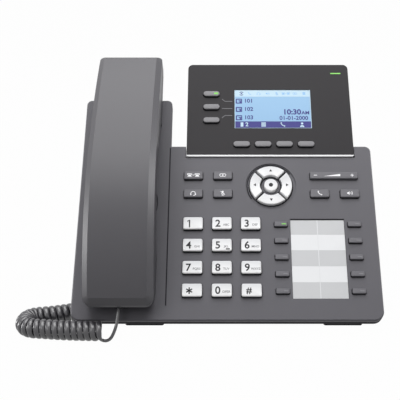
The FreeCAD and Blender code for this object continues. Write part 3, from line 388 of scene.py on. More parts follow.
def settle(name: str, shape: BMesh, finish: Finishes, body: str, place: Matrix = PANEL,
           stands_for: Sequence[str] = (), sharp_deg: float = 34.0) -> bpy.types.Object:
    """Make a finished shape an object that rides on a body.

    Args:
        name: the piece's name.
        shape: its shape, which is used up.
        finish: its finish.
        body: the body it moves with.
        place: where its millimetres lie.
        stands_for: solids that it replaces.
        sharp_deg: edges that turn more than this stay sharp.

    Returns:
        The object.
    """
    rise = shape.verts.layers.float.new("rise")
    heights = [v.co.y for v in shape.verts]
    low, span = min(heights), max(heights) - min(heights)
    for vert in shape.verts:
        vert[rise] = (vert.co.y - low) / span
    bmesh.ops.recalc_face_normals(shape, faces=shape.faces[:])
    for face in shape.faces:
        face.smooth = True
    for edge in shape.edges:
        edge.smooth = edge.calc_face_angle(0.0) < math.radians(sharp_deg)
    bmesh.ops.transform(shape, matrix=place, verts=shape.verts[:])
    mesh = bpy.data.meshes.new(name)
    shape.to_mesh(mesh)
    shape.free()
    mesh.materials.append(finish.skin())
    made = bpy.data.objects.new(name, mesh)
    bpy.context.scene.collection.objects.link(made)
    if body:
        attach(made, body)
    if stands_for:
        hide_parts(*stands_for)
    LOG.info("%s rides on %s", name, body or "two bodies")
    return made


def lettering(text: str, height: float, centre: Point, top: float, weight: float = 0.0) -> BMesh:
    """Make plain figures or letters as a thin plate.

    Args:
        text: what it says.
        height: height of its capitals.
        centre: place of its middle.
        top: height of the face that it lies on.
        weight: how far its strokes are thickened on each side.

    Returns:
        The lettering.
    """
    curve = bpy.data.curves.new("lettering", "FONT")
    curve.body = text
    curve.size = height * FONT_PER_CAPITAL
    curve.align_x = "CENTER"
    curve.align_y = "CENTER"
    curve.extrude = INK
    curve.offset = weight
    curve.resolution_u = 4
    holder = bpy.data.objects.new("lettering", curve)
    bpy.context.scene.collection.objects.link(holder)
    ready = holder.evaluated_get(bpy.context.evaluated_depsgraph_get())
    mesh = bpy.data.meshes.new_from_object(ready)
    shape = bmesh.new()
    shape.from_mesh(mesh)
    bmesh.ops.remove_doubles(shape, verts=shape.verts[:], dist=TOUCH)
    bmesh.ops.translate(shape, verts=shape.verts[:], vec=(*centre, top))
    bpy.data.objects.remove(holder)
    bpy.data.curves.remove(curve)
    bpy.data.meshes.remove(mesh)
    return shape


def bar(start: Point, end: Point, width: float) -> Outline:
    """Outline of a straight stroke.

    Args:
        start: middle of its first end.
        end: middle of its other end.
        width: width of the stroke.

    Returns:
        Its corners in order.
    """
    along = (Vector(end) - Vector(start)).normalized() * (width / 2)
    side = Vector((-along.y, along.x))
    return [tuple(Vector(start) + side), tuple(Vector(start) - side), tuple(Vector(end) - side),
            tuple(Vector(end) + side)]


def ring_part(centre: Point, radius: float, width: float, start_deg: float, end_deg: float) -> Outline:
    """Outline of a bent stroke.

    Args:
        centre: middle of its circle.
        radius: radius along its middle.
        width: width of the stroke.
        start_deg: where it starts.
        end_deg: where it ends.

    Returns:
        Its corners in order.
    """
    steps = max(4, round(abs(end_deg - start_deg) / 12))
    turns = [math.radians(start_deg + (end_deg - start_deg) * i / steps) for i in range(steps + 1)]
    sides = []
    for reach, order in ((radius + width / 2, turns), (radius - width / 2, turns[::-1])):
        sides += [(centre[0] + reach * math.cos(t), centre[1] + reach * math.sin(t)) for t in order]
    return sides


def spot(centre: Point, radius: float) -> Outline:
    """Outline of a round dot."""
    turns = [math.tau * i / SPOT_SIDES for i in range(SPOT_SIDES)]
    return [(centre[0] + radius * math.cos(t), centre[1] + radius * math.sin(t)) for t in turns]


def print_on(strokes: Iterable[Outline], centre: Point, top: float, scale: float = 1.0) -> BMesh:
    """Lay thin strokes on a face.

    Args:
        strokes: outlines about a middle of zero.
        centre: where that middle goes.
        top: height of the face.
        scale: size factor.

    Returns:
        The strokes as one thin shape.
    """
    plates = []
    for stroke in strokes:
        laid = [(centre[0] + scale * x, centre[1] + scale * y) for x, y in stroke]
        plates.append(plate(laid, top - INK, top + INK))
    return joined(plates)


class Glyphs:
    """Plain signs for the keys and the display, about 4 mm across, round a middle of zero."""

    @staticmethod
    def receiver() -> list[Outline]:
        """A telephone receiver, leaning to the right."""
        return [ring_part((1.5, 1.6), 2.7, 0.55, 187, 263), bar((-1.35, 1.5), (-0.75, 0.95), 0.95),
                bar((0.75, -0.9), (1.45, -1.4), 0.95)]

    @classmethod
    def transfer(cls) -> list[Outline]:
        """Two small telephones with a dash between them.

        Returns:
            Its strokes.
        """
        strokes = [bar((-0.6, 0), (0.6, 0), 0.5)]
        for shift in (-2.7, 2.7):
            strokes += [[(x + shift, y) for x, y in stroke] for stroke in cls.small_phone()]
        return strokes

    @staticmethod
    def small_phone() -> list[Outline]:
        """A telephone with its receiver across the top."""
        return [bar((-1.75, 0.95), (1.75, 0.95), 0.6), bar((-1.5, 0.9), (-1.5, 0.15), 0.6),
                bar((1.5, 0.9), (1.5, 0.15), 0.6), [(-0.7, 0.35), (-1.6, -1.2), (1.6, -1.2), (0.7, 0.35)]]

    @staticmethod
    def message() -> list[Outline]:
        """A pill-shaped message sign."""
        return [ring_part((-1.2, 0), 1.0, 0.42, 90, 270), ring_part((1.2, 0), 1.0, 0.42, -90, 90),
                bar((-1.2, 1.0), (1.2, 1.0), 0.42), bar((-1.2, -1.0), (1.2, -1.0), 0.42),
                spot((0, 0), 0.55)]

    @staticmethod
    def headset() -> list[Outline]:
        """A head band with two ear pads and a boom."""
        return [ring_part((0, -0.3), 1.6, 0.45, 0, 180), bar((-1.6, -0.2), (-1.6, -1.5), 0.85),
                bar((1.6, -0.2), (1.6, -1.5), 0.85), bar((1.4, -1.6), (0.2, -1.85), 0.35)]

    @staticmethod
    def star() -> list[Outline]:
        """A six-pointed star sign.

        Returns:
            Its strokes.
        """
        turns = [math.radians(30 + 60 * i) for i in range(3)]
        points = [(2.3 * math.cos(t), 2.3 * math.sin(t)) for t in turns]
        return [bar((-x, -y), (x, y), 0.85) for x, y in points]

    @staticmethod
    def one() -> list[Outline]:
        """A figure one with a flag at its head."""
        return [bar((0.3, -2.75), (0.3, 2.75), 0.85), bar((0.3, 2.5), (-1.3, 1.75), 0.7)]

    @staticmethod
    def muted() -> list[Outline]:
        """A microphone with a line across it."""
        return [bar((0, 1.7), (0, 0.0), 0.95), ring_part((0, 0.1), 1.05, 0.35, 180, 360),
                bar((0, -0.9), (0, -1.7), 0.4), bar((-0.8, -1.75), (0.8, -1.75), 0.35),
                bar((-1.5, 1.5), (1.5, -1.5), 0.4)]

    @staticmethod
    def speaker() -> list[Outline]:
        """A loudspeaker with two waves."""
        return [[(-1.9, 0.55), (-1.9, -0.55), (-1.2, -0.55), (-0.2, -1.35), (-0.2, 1.35), (-1.2, 0.55)],
                ring_part((-0.2, 0), 1.1, 0.38, -42, 42), ring_part((-0.2, 0), 2.0, 0.38, -42, 42)]

    @staticmethod
    def person() -> list[Outline]:
        """A head and shoulders sign."""
        return [spot((0, 0.8), 0.8), ring_part((0, -1.9), 0.9, 1.1, 0, 180)]

    @staticmethod
    def grid() -> list[Outline]:
        """A small page with ruled lines."""
        return [bar((-1.5, y), (1.5, y), 0.62) for y in (1.3, 0.45, -0.4, -1.25)]

    @staticmethod
    def desk_phone() -> list[Outline]:
        """A small telephone seen from the front."""
        return [bar((-1.9, 1.4), (1.9, 1.4), 0.7), bar((-1.9, -1.9), (-1.9, 1.4), 0.8),
                bar((-0.4, 0.1), (1.9, 0.1), 0.7), bar((-1.9, -1.7), (1.9, -1.7), 0.7),
                bar((1.7, -1.9), (1.7, 1.2), 0.5), bar((0.2, -0.9), (1.4, -0.9), 0.9)]

    @staticmethod
    def status() -> list[Outline]:
        """A dot between two short arcs."""
        return [ring_part((0, 0), 1.7, 0.55, 30, 150), ring_part((0, 0), 1.7, 0.55, 210, 330),
                spot((0, 0), 0.7)]

    @staticmethod
    def book() -> list[Outline]:
        """A closed book, left of the middle."""
        return [bar((-2.1, 0), (-0.1, 0), 3.6)]

    @staticmethod
    def volume() -> list[Outline]:
        """A minus, a rising wedge and a plus, spread along the rocker."""
        return [bar((-14.2, 0), (-11.9, 0), 0.5), [(-7.4, -0.75), (4.6, -0.75), (4.6, 0.95)],
                bar((11.9, 0), (14.2, 0), 0.5), bar((13.05, -1.15), (13.05, 1.15), 0.5)]


@dataclass
class KeyStyle:
    """Plan size and rounding of one kind of key, where its skin lies, and the collar of painted shade round
    its foot.
    """

    size: Point
    corner: float
    rise: float
    edge: float
    finish: Finishes
    skin_under: float = -2.2
    stop_gap: float = 0.3
    flange: float = 0.8
    flange_thick: float = 1.0
    # Collar of painted shade: how much wider than the cap it is, and how far under the cap's rounded edge
    # it stops.
    skirt_grow: float = 0.12
    skirt_drop: float = 0.15

    def skirt(self, centre: Point) -> BMesh:
        """Make the collar of painted shade round the foot of a key, where its lower walls lie in shade.

        Args:
            centre: place of the key's middle.

        Returns:
            The collar.
        """
        size = (self.size[0] + 2 * self.skirt_grow, self.size[1] + 2 * self.skirt_grow)
        top = self.rise - self.edge - self.skirt_drop
        return block(size, centre, self.skin_under, top, self.corner + self.skirt_grow)

    def shape(self, centre: Point) -> BMesh:
        """Make a key with a round-edged cap and the flange that keeps it in.

        Args:
            centre: place of its middle.

        Returns:
            The key.
        """
        base = self.skin_under - self.stop_gap
        cap = block(self.size, centre, base - self.flange_thick / 2, self.rise, self.corner, self.edge)
        wide = (self.size[0] + 2 * self.flange, self.size[1] + 2 * self.flange)
        return joined([cap, block(wide, centre, base - self.flange_thick, base)])


@dataclass
class KeyField:
    """All the keys that press straight in: dial, function, memory, line and soft keys."""

    dial: KeyStyle
    function: KeyStyle
    memory: KeyStyle
    pill: KeyStyle
    dial_x: tuple[float, ...] = (-23.6, -3.65, 16.3)
    dial_y: tuple[float, ...] = (69.05, 52.9, 36.7, 20.5)
    dial_names: tuple[str, ...] = ("1", "2", "3", "4", "5", "6", "7", "8", "9", "star", "0", "hash")
    letters: tuple[str, ...] = ("", "ABC", "DEF", "GHI", "JKL", "MNO", "PQRS", "TUV", "WXYZ", "", "OPER",
                                "")
    figure_height: float = 5.3
    hash_height: float = 4.4
    figure_weight: float = 0.14
    figure_shift: Point = (-2.7, -0.5)
    sign_right: float = 0.9
    letter_height: float = 1.6
    letter_weight: float = 0.03
    letter_shift: Point = (3.0, -1.3)
    nub_size: Point = (2.7, 0.7)
    nub_shift: Point = (4.1, -3.1)
    nub_rise: float = 0.3
    nub_corner: float = 0.25
    nub_edge: float = 0.12
    function_x: tuple[float, ...] = (-23.9, -3.0, 65.4, 86.5)
    function_y: Point = (106.3, 92.1)
    memory_x: tuple[tuple[str, float], ...] = (("left", 37.25), ("right", 88.2))
    memory_top: float = 68.7
    memory_pitch: float = 12.16
    memory_rows: int = 5
    memory_lamp_x: Point = (0.6, 3.6)
    memory_lamp_height: float = 0.7
    line_x: float = -11.4
    line_y: tuple[float, ...] = (174.1, 162.8, 151.5)
    soft_x: tuple[float, ...] = (10.7, 26.25, 41.75, 57.4)
    soft_y: float = 131.45
    line_lamp_x: Point = (1.9, 4.9)
    line_lamp_heights: tuple[float, ...] = (1.5, 0.9, 0.9)

    def build(self) -> None:
        """Make every key and its print."""
        self.dial_keys()
        self.function_keys()
        self.memory_keys()
        self.pill_keys()

    def press(self, name: str, style: KeyStyle, centre: Point) -> None:
        """Make one key cap in the place of its solid, and its collar of painted shade."""
        settle(name + "_cap", style.shape(centre), style.finish, name + "_body", stands_for=[name])
        settle(name + "_painted_shade_collar", style.skirt(centre), Finishes.SHADOW_GAP, name + "_body")

    def dial_keys(self) -> None:
        """Make the twelve dial keys with plain figures and the standard letters."""
        spots = [(x, y) for y in self.dial_y for x in self.dial_x]
        top = self.dial.rise
        for name, letters, (x, y) in zip(self.dial_names, self.letters, spots):
            node = "dial_key_" + name
            self.press(node, self.dial, (x, y))
            at = (x + self.figure_shift[0], y + self.figure_shift[1])
            settle(node + "_figure", self.figure(name, at, top), Finishes.BLACK_INK, node + "_body")
            if letters:
                at = (x + self.letter_shift[0], y + self.letter_shift[1])
                small = lettering(letters, self.letter_height, at, top, self.letter_weight)
                settle(node + "_letters", small, Finishes.GREY_INK, node + "_body")
        x, y = spots[self.dial_names.index("5")]
        nub = block(self.nub_size, (x + self.nub_shift[0], y + self.nub_shift[1]), top - INK,
                    top + self.nub_rise, self.nub_corner, self.nub_edge)
        settle("dial_key_5_nub", nub, Finishes.BLACK_INK, "dial_key_5_body")

    def figure(self, name: str, at: Point, top: float) -> BMesh:
        """Make the figure or sign of one dial key.

        Args:
            name: the key's name.
            at: where figures go.
            top: height of the key's face.

        Returns:
            The figure.
        """
        beside = (at[0] + self.sign_right, at[1])
        if name == "1":
            return print_on(Glyphs.one(), at, top)
        if name == "star":
            return print_on(Glyphs.star(), beside, top)
        if name == "hash":
            return lettering("#", self.hash_height, beside, top, self.figure_weight)
        return lettering(name, self.figure_height, at, top, self.figure_weight)

    def function_keys(self) -> None:
        """Make the six function keys with white signs."""
        (first, second, third, fourth), (upper, lower) = self.function_x, self.function_y
        signs = {
            "transfer_key": ((first, upper), Glyphs.transfer()),
            "message_key": ((second, upper), Glyphs.message()),
            "headset_key": ((first, lower), Glyphs.headset()),
            "mute_key": ((second, lower), Glyphs.muted()),
            "call_key": ((third, lower), Glyphs.receiver()),
            "speaker_key": ((fourth, lower), Glyphs.speaker()),
        }
        for name, (centre, strokes) in signs.items():
            self.press(name, self.function, centre)
            sign = print_on(strokes, centre, self.function.rise)
            settle(name + "_sign", sign, Finishes.WHITE_INK, name + "_body")

    def memory_keys(self) -> None:
        """Make the memory keys down both sides of the label card, each with its small lamp."""
        start, end = self.memory_lamp_x
        mark = bar((start, 0), (end, 0), self.memory_lamp_height)
        for side, x in self.memory_x:
            for row in range(self.memory_rows):
                name = "memory_key_%s_%d" % (side, row + 1)
                y = self.memory_top - row * self.memory_pitch
                self.press(name, self.memory, (x, y))
                lit = side == "left" and row == 0
                lamp = print_on([mark], (x, y), self.memory.rise)
                finish = Finishes.GREEN_LIGHT if lit else Finishes.LAMP_OFF
                settle(name + "_lamp", lamp, finish, name + "_body")

    def pill_keys(self) -> None:
        """Make the line keys beside the window and the soft keys under it."""
        start, end = self.line_lamp_x
        for i, (y, height) in enumerate(zip(self.line_y, self.line_lamp_heights)):
            name = "line_key_%d" % (i + 1)
            self.press(name, self.pill, (self.line_x, y))
            finish = Finishes.GREEN_LIGHT if i == 0 else Finishes.LAMP_OFF
            lamp = print_on([bar((start, 0), (end, 0), height)], (self.line_x, y), self.pill.rise)
            settle(name + "_lamp", lamp, finish, name + "_body")
        for i, x in enumerate(self.soft_x):
            self.press("soft_key_%d" % (i + 1), self.pill, (x, self.soft_y))


@dataclass
class ArrowPad:
    """Four arrow keys round a confirm key, in a dished ring."""

    centre: Point = (31.1, 98.6)
    outer: float = 14.9
    inner: float = 7.8
    gap: float = 1.9
    rise: float = 1.9
    base: float = -3.4
    flange_thick: float = 1.0
    edge: float = 0.55
    ok_radius: float = 4.8
    ok_rise: float = 2.1
    ok_edge: float = 0.7
    ok_dot: float = 1.5
    dish: float = -0.9
    gap_width: float = 1.2
    shadow_ring_width: float = 0.9
    # Rings of painted shadow round the arrow keys: radius, first and last turn in degrees; the outermost
    # arc lies only at the upper left, as the dish wall's shadow.
    painted_shadow_rings: tuple[Triple, ...] = (
        (15.5, 0, 179), (15.5, 181, 359), (7.2, 0, 179), (7.2, 181, 359), (16.9, 35, 215),
    )
    arc_steps: int = 8
    arrow: tuple[Point, ...] = ((1.1, 0), (-0.7, 1.1), (-0.7, -1.1))
    keys: tuple[tuple[str, float], ...] = (
        ("nav_right_key", 0), ("nav_up_key", 90), ("nav_left_key", 180), ("nav_down_key", 270),
    )

    def sector(self, turn_deg: float) -> Outline:
        """Outline of one arrow key, with the same gap along its whole side.

        Args:
            turn_deg: which way the key points.

        Returns:
            Its corners in order.
        """
        (x, y), corners = self.centre, []
        for radius, way in ((self.outer, 1), (self.inner, -1)):
            half = 45 - math.degrees(math.asin(self.gap / 2 / radius))
            for i in range(2 * self.arc_steps + 1):
                turn = math.radians(turn_deg + way * half * (i / self.arc_steps - 1))
                corners.append((x + radius * math.cos(turn), y + radius * math.sin(turn)))
        return corners

    def build(self) -> None:
        """Make the four arrows, the confirm key, dark strips in the gaps between them and rings of painted
        shadow round them.
        """
        reach = (self.outer + self.inner) / 2
        foot = self.base - self.flange_thick
        for name, turn in self.keys:
            shape = plate(self.sector(turn), foot, self.rise)
            soften(shape, edges_at(shape, self.rise), self.edge, EDGE_STEPS)
            settle(name + "_cap", shape, Finishes.WHITE_KEY, name + "_body", stands_for=[name])
            way = Matrix.Rotation(math.radians(turn), 2)
            mark = [tuple(way @ Vector(p) + way @ Vector((reach, 0))) for p in self.arrow]
            printed = print_on([mark], self.centre, self.rise)
            settle(name + "_arrow", printed, Finishes.BLACK_INK, name + "_body")
        knob = disc(self.centre, self.ok_radius, foot, self.ok_rise, self.ok_edge)
        settle("ok_key_cap", knob, Finishes.WHITE_KEY, "ok_key_body", stands_for=["ok_key"])
        dot = print_on([spot((0, 0), self.ok_dot)], self.centre, self.ok_rise)
        settle("ok_key_dot", dot, Finishes.BLACK_INK, "ok_key_body")
        # Dark strips in the diagonal gaps, and rings of painted shadow at the keys' inner and outer edges
        # and the dish's rim.
        turns = [math.radians(45 + 90 * i) for i in range(4)]
        ways = [Vector((math.cos(t), math.sin(t))) for t in turns]
        gaps_and_shadows = [bar(tuple(way * self.inner), tuple(way * self.outer), self.gap_width) for way in ways]
        for radius, first, last in self.painted_shadow_rings:
            gaps_and_shadows.append(ring_part((0, 0), radius, self.shadow_ring_width, first, last))
        settle("nav_gaps_and_painted_shadow", print_on(gaps_and_shadows, self.centre, self.dish), Finishes.SHADOW_GAP, "base")


@dataclass
class VolumeRocker:
    """Long rocker with a minus, a rising wedge and a plus."""

    size: Point = (34.0, 5.2)
    centre: Point = (76.0, 106.2)
    rise: float = 2.0
    base: float = -2.5
    pivot: Point = (5.0, 6.8)
    pivot_thick: float = 1.0
    corner: float = 1.0
    edge: float = 0.6

    def build(self) -> None:
        """Make the rocker and its signs."""
        cap = block(self.size, self.centre, self.base, self.rise, self.corner, self.edge)
        pivot = block(self.pivot, self.centre, self.base - self.pivot_thick, self.base + INK)
        settle("volume_rocker_cap", joined([cap, pivot]), Finishes.GREY_KEY, "volume",
               stands_for=["volume_rocker"])
        signs = print_on(Glyphs.volume(), self.centre, self.rise)
        settle("volume_rocker_signs", signs, Finishes.WHITE_INK, "volume")


@dataclass
class ScreenHead:
    """The lit window and the print on the dark plate round it."""

    window_x: Point = (5.75, 62.4)
    window_y: Point = (145.3, 178.3)
    face: float = 1.0
    pane_low: float = -1.0
    pane_high: float = 0.75
    border: float = 0.45
    band: float = 5.4
    lamp_x: Point = (78.35, 86.1)
    lamp_y: float = 192.85
    lamp_height: float = 1.0
    outer_x: Point = (-29.2, 91.7)
    outer_top: float = 200.6
    rim_low: float = 124.2
    chin_cover: float = 1.0
    rim: float = 0.65
    corner: float = 3.7
    status_x: float = 5.2
    status_scale: float = 0.85
    faint_x: float = 11.2
    faint_pitch: float = 6.8
    faint_scale: float = 0.7
    row_drop: float = 9.6
    row_pitch: float = 7.15
    row_mark_x: float = 3.4
    row_text_x: float = 10.4
    rows: tuple[str, ...] = ("101", "102", "103")
    sign_scale: float = 1.1
    text_height: float = 3.3
    text_weight: float = 0.1
    clock: tuple[tuple[str, float, Point, float], ...] = (
        ("10:30", 4.4, (-14.2, 13.7), 0.2), ("AM", 2.9, (-4.2, 13.1), 0.1),
        ("01-01-2000", 3.3, (-13.0, 8.6), 0.1),
    )
    book_x: float = -0.6
    count_x: float = 1.9
    leader_rows: tuple[Point, ...] = ((168.2, 2.0), (162.0, 0.0), (156.0, -2.0))
    leader_x: Triple = (-3.6, -1.35, 4.0)
    leader_width: float = 0.4

    def build(self) -> None:
        """Make the display picture, the leader lines, the dark rim and the lamp."""
        self.picture()
        self.bottom_bar()
        self.leaders()
        self.dark_rim()
        start, end = self.lamp_x
        lamp = plate(bar((start, self.lamp_y), (end, self.lamp_y), self.lamp_height), self.face - INK,
                     self.face + INK)
        settle("status_lamp", lamp, Finishes.GREEN_LIGHT, "base")

    def level(self, low: float, high: float) -> Outline:
        """Outline of a band across the window between two heights."""
        left, right = self.window_x[0] + self.border, self.window_x[1] - self.border
        return [(left, low), (right, low), (right, high), (left, high)]

    def picture(self) -> None:
        """Make the lit pane, its pale border and band, its figures and signs."""
        (left, right), (low, high), top = self.window_x, self.window_y, self.pane_high
        whole = [(left, low), (right, low), (right, high), (left, high)]
        settle("display_border", plate(whole, self.pane_low, top - INK), Finishes.DISPLAY_PALE, "base")
        inside = self.level(low + self.border, high - self.border)
        settle("display_pane", plate(inside, top - 2 * INK, top), Finishes.DISPLAY, "base")
        band = self.level(high - self.border - self.band, high - self.border)
        settle("display_status_band", plate(band, top - INK, top + INK / 2), Finishes.DISPLAY_PALE, "base")
        middle = high - self.border - self.band / 2
        status = print_on(Glyphs.status(), (left + self.status_x, middle), top, self.status_scale)
        settle("display_status_sign", status, Finishes.DISPLAY_INK, "base")
        faint = [Glyphs.receiver(), Glyphs.headset(), Glyphs.speaker(), Glyphs.muted(), Glyphs.transfer(),
                 Glyphs.message(), Glyphs.grid()]
        signs = []
        for i, strokes in enumerate(faint):
            x = left + self.faint_x + self.faint_pitch * i
            signs.append(print_on(strokes, (x, middle), top, self.faint_scale))
        settle("display_faint_signs", joined(signs), Finishes.DISPLAY_FAINT, "base")
        settle("display_figures", self.figures(), Finishes.DISPLAY_INK, "base")

    def figures(self) -> BMesh:
        """Make the numbered rows with their small telephones, the time and the date.

        Returns:
            The figures as one shape.
        """
        (left, right), (low, high), top = self.window_x, self.window_y, self.pane_high
        heights = [high - self.row_drop - self.row_pitch * i for i in range(len(self.rows))]
        sign, sign_x, text_x = Glyphs.desk_phone(), left + self.row_mark_x, left + self.row_text_x
        marks = [print_on(sign, (sign_x, y), top, self.sign_scale) for y in heights]
        for text, y in zip(self.rows, heights):
            marks.append(lettering(text, self.text_height, (text_x, y), top, self.text_weight))
        for text, height, (x, y), weight in self.clock:
            marks.append(lettering(text, height, (right + x, low + y), top, weight))
        return joined(marks)

    def bottom_bar(self) -> None:
        """Make the dark bar along the window's foot with its four pale signs."""
        left, right = self.window_x
        low, top = self.window_y[0], self.pane_high
        band = self.level(low + self.border, low + self.border + self.band)
        settle("display_bottom_bar", plate(band, top - INK, top + INK / 2), Finishes.DISPLAY_INK, "base")
        middle = low + self.border + self.band / 2
        step = (right - left) / 4
        first = left + step / 2
        signs = [print_on(Glyphs.book(), (first + self.book_x, middle), top),
                 lettering("2", self.text_height, (first + self.count_x, middle), top, self.text_weight)]
        for i, strokes in enumerate((Glyphs.grid(), Glyphs.receiver(), Glyphs.person())):
            signs.append(print_on(strokes, (left + step * (i + 1.5), middle), top, self.sign_scale))
        settle("display_bar_signs", joined(signs), Finishes.DISPLAY_PALE, "base")

    def leaders(self) -> None:
        """Make the thin lines that lead from the line keys to their rows."""
        (start, knee, end), strokes = self.leader_x, []
        for height, rise in self.leader_rows:
            strokes.append(bar((start, height + rise), (knee, height), self.leader_width))
            strokes.append(bar((knee, height), (end, height), self.leader_width))
        settle("line_leaders", print_on(strokes, (0, 0), self.face), Finishes.GREY_INK, "base")

    def dark_rim(self) -> None:
        """Carry the dark plate's colour out over the frame's thin rim and the upper half of its chin."""
        (left, right), top, half = self.outer_x, self.outer_top, self.rim / 2
        sides = (left + half, right - half)
        strokes = [bar((x, self.rim_low), (x, top - self.corner), self.rim) for x in sides]
        strokes.append(bar((left + self.corner, top - half), (right - self.corner, top - half), self.rim))
        for x, turn in ((left + self.corner, 90), (right - self.corner, 0)):
            strokes.append(ring_part((x, top - self.corner), self.corner - half, self.rim, turn, turn + 90))
        foot = self.rim_low - self.chin_cover / 2
        strokes.append(bar((left + INK, foot), (right - INK, foot), self.chin_cover))
        settle("screen_dark_rim", print_on(strokes, (0, 0), self.face), Finishes.BLACK_LENS, "base")


@dataclass
class LabelCard:
    """Paper card in its recess, in bands that match the memory keys."""

    xs: Point = (44.0, 81.2)
    ys: Point = (15.3, 73.05)
    low: float = -0.9
    high: float = -0.4
    bands: int = 5
    divider: float = 0.45
    head_shadow_width: float = 0.8

    def build(self) -> None:
        """Make the card, its grey bands, its middle line and a strip of painted shadow along its head,
        where the recess's upper wall shades it.
        """
        (left, right), (low, high) = self.xs, self.ys
        size = (right - left, high - low)
        centre = ((left + right) / 2, (low + high) / 2)
        sheet = block(size, centre, self.low, self.high)
        settle("label_card_sheet", sheet, Finishes.PAPER, "base", stands_for=["label_card"])
        step = size[1] / self.bands
        middles = [high - step * (i + 0.5) for i in range(0, self.bands, 2)]
        grey = [bar((left, y), (right, y), step) for y in middles]
        settle("label_card_bands", print_on(grey, (0, 0), self.high), Finishes.PAPER_GREY, "base")
        line = bar((centre[0], low), (centre[0], high), self.divider)
        settle("label_card_divider", print_on([line], (0, 0), self.high + INK), Finishes.PAPER_LINE, "base")
        # Painted shadow of the recess's upper wall along the card's head.
        middle = high - self.head_shadow_width / 2
        head = bar((left, middle), (right, middle), self.head_shadow_width)
        shade = print_on([head], (0, 0), self.high + 2 * INK)
        settle("label_card_head_shadow", shade, Finishes.SHADOW_GAP, "base")


@dataclass
class ShadeLines:
    """Painted shade on the body: in the column's groove, along the rim of the grille's dish and on the wall
    under the lower edge.
    """

    groove_x: float = -41.0
    groove_y: Point = (10.3, 129.6)
    groove_width: float = 0.8
    groove_floor: float = -0.6
    dish: Point = (-70.9, 85.4)
    dish_radius: float = 22.2
    dish_width: float = 0.45
    dish_turn_deg: Point = (-36.0, 36.0)
    half_width: float = 104.0
    corner: float = 6.6
    wall_z: Point = (-7.3, -2.6)
    wall_skin: float = 0.1

    def lower_wall(self) -> BMesh:
        """Make a thin sheet of painted shade on the wall under the panel's lower edge, round both corners.

        Returns:
            The sheet of painted shade.
        """
        side = self.half_width - self.corner
        strips = [bar((-side, 0), (side, 0), self.wall_skin)]
        for x, turn in ((-side, 180), (side, 270)):
            strips.append(ring_part((x, self.corner), self.corner, self.wall_skin, turn, turn + 90))
        return joined([plate(strip, *self.wall_z) for strip in strips])

    def build(self) -> None:
        """Lay painted shade in the column's groove, along the grille dish's rim and on the wall under the
        lower edge.
        """
        settle("lower_wall_painted_shade", self.lower_wall(), Finishes.SHADOW_GAP, "base")
        low, high = self.groove_y
        groove = bar((self.groove_x, low), (self.groove_x, high), self.groove_width)
        shade = print_on([groove], (0, 0), self.groove_floor)
        settle("column_groove_shade", shade, Finishes.SHADOW_GAP, "base")
        rim = ring_part(self.dish, self.dish_radius, self.dish_width, *self.dish_turn_deg)
        settle("grille_dish_shade", print_on([rim], (0, 0), 0.0), Finishes.SHADOW_GAP, "base")


